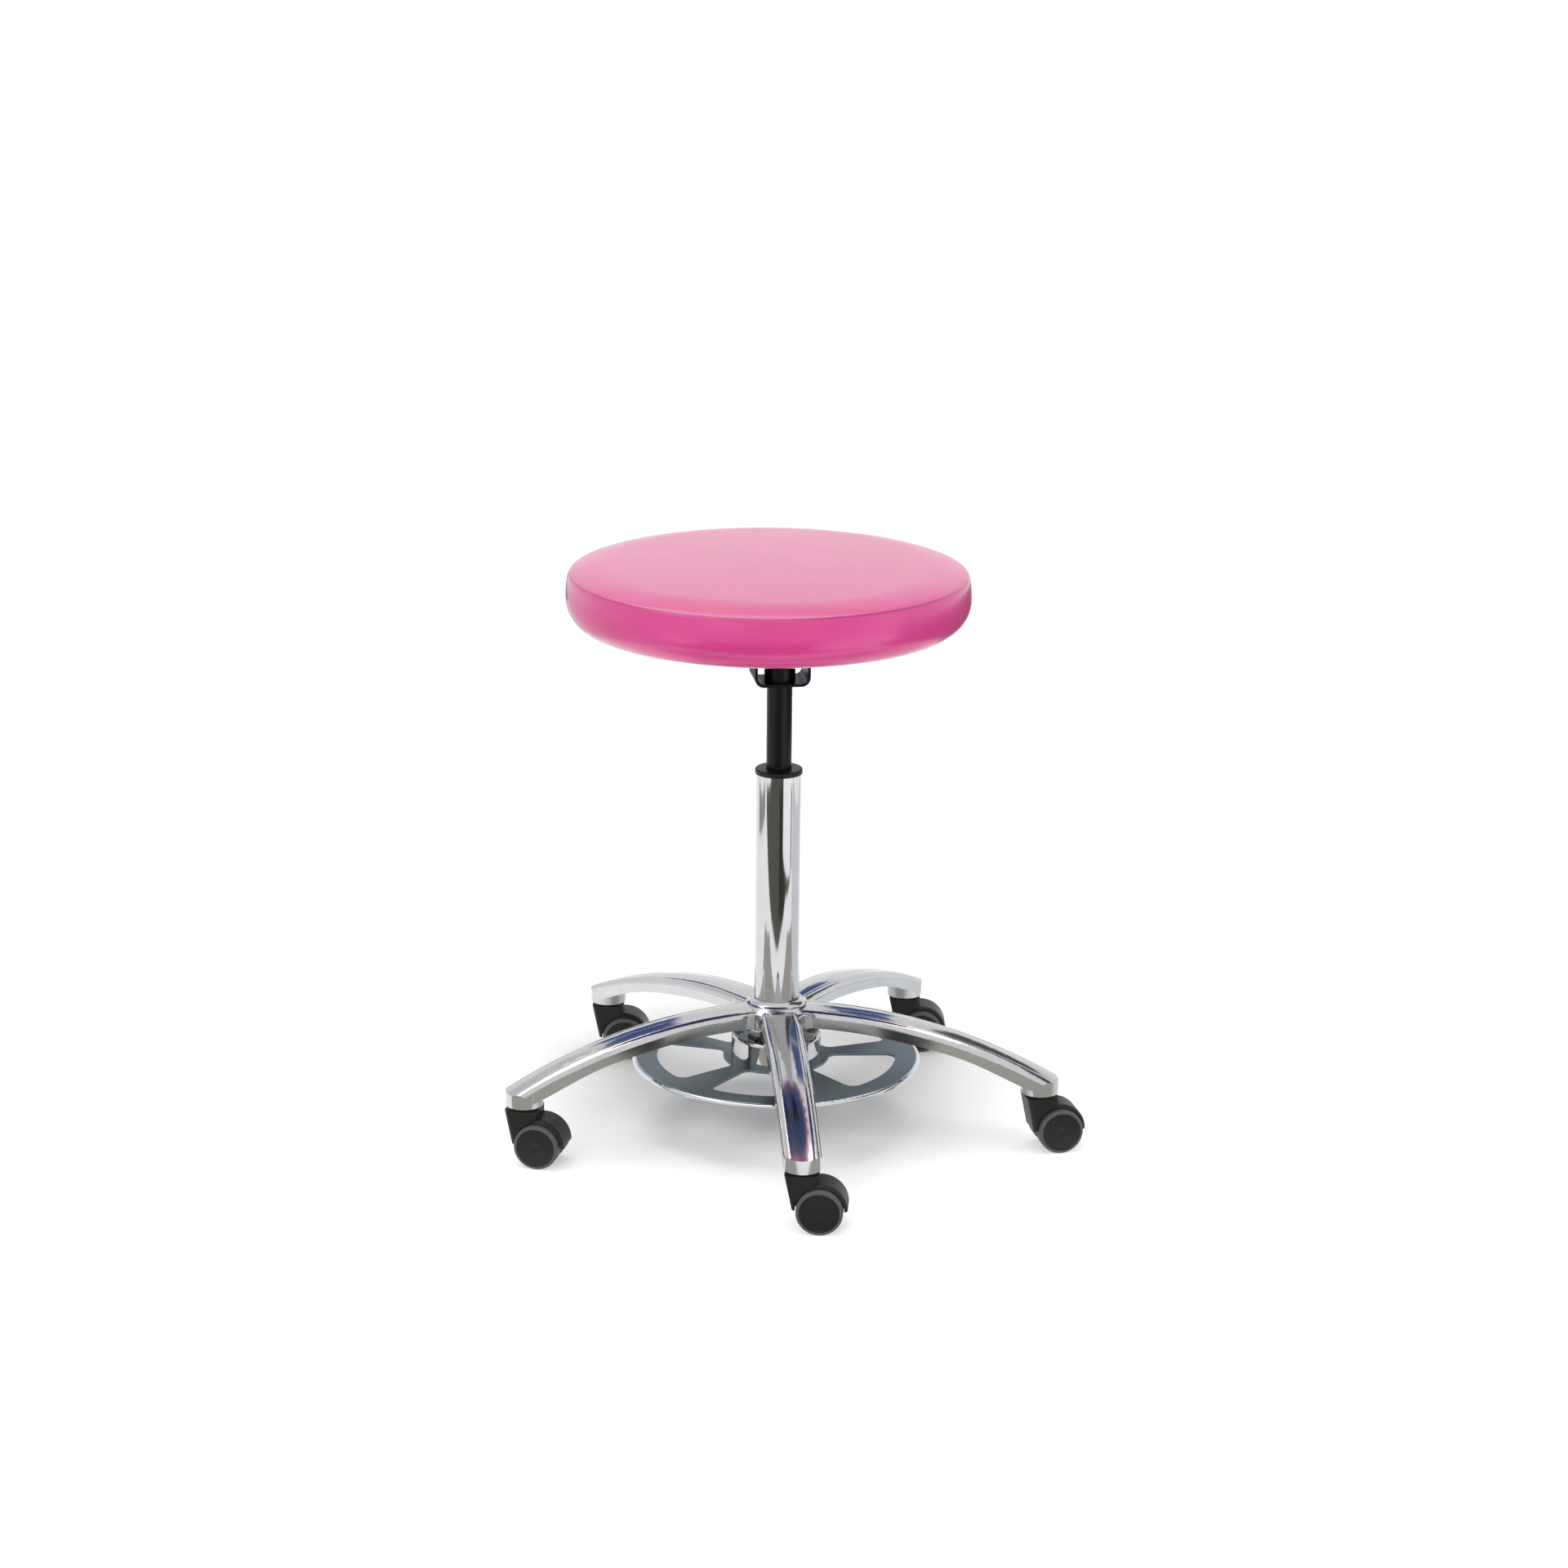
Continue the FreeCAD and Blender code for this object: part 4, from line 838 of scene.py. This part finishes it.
darkest = [(6, 0.79), (6, 1.38), (24, 1.38), (24, 1.05), (64, 0.96), (39, 0.865), (17, 0.735)]
streak = [(64, 0.96), (70, 0.96), (72, 1.38), (66, 1.38)]
left_side = [(-71, 1.24), (-71, 1.42), (-113, 1.42), (-113, 1.14), (-90, 1.15)]
right_side = [(75, 0.45), (75, 1.5), (140, 1.5), (140, 0.45)]
ground_card("dark_ground", dark_left + dark_right, LOWER_CARD, DARK_FLOOR_REFLECTION)
ground_card("darkest_ground", darkest, UPPER_CARD, DARKEST_FLOOR_REFLECTION)
ground_card("streak_ground", streak, UPPER_CARD, STREAK_GREY)
ground_card("grey_ground", left_side, UPPER_CARD, LEFT_GREY)
ground_card("right_ground", right_side, UPPER_CARD, RIGHT_PALE)

# Beige glowing cards on the floor in front of the column paint a duller reflection of the near floor into
# whatever mirrors it.
NEAR_BEIGE = (0.53, 0.51, 0.46)
near_line = [(0.55, -0.10), (0.0, -0.25), (0.0, -0.44), (0.50, -0.50), (0.70, -0.25)]
for side in (-1, 1):
    card("near_ground", [(side * x, y, UPPER_CARD) for x, y in near_line], NEAR_BEIGE)

# Glowing screens on both sides, seen only in mirrors, paint a dark grey reflection on the right and a pale
# grey one on the left into the seat's side, in place of the white surround.
SCREEN_LOW = 0.30
SCREEN_HIGH = 0.57
RIGHT_SCREEN = (0.12, 0.12, 0.12)
LEFT_SCREEN = (0.8, 0.8, 0.8)
screen_line = [(0.455, -0.30), (0.505, 0.0), (0.45, 0.20), (0.337, 0.34)]
for side, colour in ((1, RIGHT_SCREEN), (-1, LEFT_SCREEN)):
    for near, far in zip(screen_line, screen_line[1:]):
        rows = ((near, SCREEN_LOW), (far, SCREEN_LOW), (far, SCREEN_HIGH), (near, SCREEN_HIGH))
        card("side_screen", [(side * x, y, z) for (x, y), z in rows], colour)

# Blue glowing cards stand and lie behind the column, lower than the seat, and paint blue reflections into
# the tops of the legs.
BLUE = (0.065, 0.11, 0.29)
BACKING = 0.56
BACKING_LOW = 0.33
BACKING_HIGH = 0.54
ROOF_FRONT = 0.20
ROOF_HEIGHT = 0.56
MIDDLE_BACK = 0.31
for left, right in ((-0.32, -0.12), (0.12, 0.27)):
    backing = [(left, BACKING_LOW), (right, BACKING_LOW), (right, BACKING_HIGH), (left, BACKING_HIGH)]
    card("blue_backing", [(x, BACKING, z) for x, z in backing], BLUE)
for left, right, back in ((-0.30, -0.12, BACKING), (-0.05, 0.05, MIDDLE_BACK), (0.12, 0.25, BACKING)):
    roof = [(left, ROOF_FRONT), (right, ROOF_FRONT), (right, back), (left, back)]
    card("blue_roof", [(x, y, ROOF_HEIGHT) for x, y in roof], BLUE)
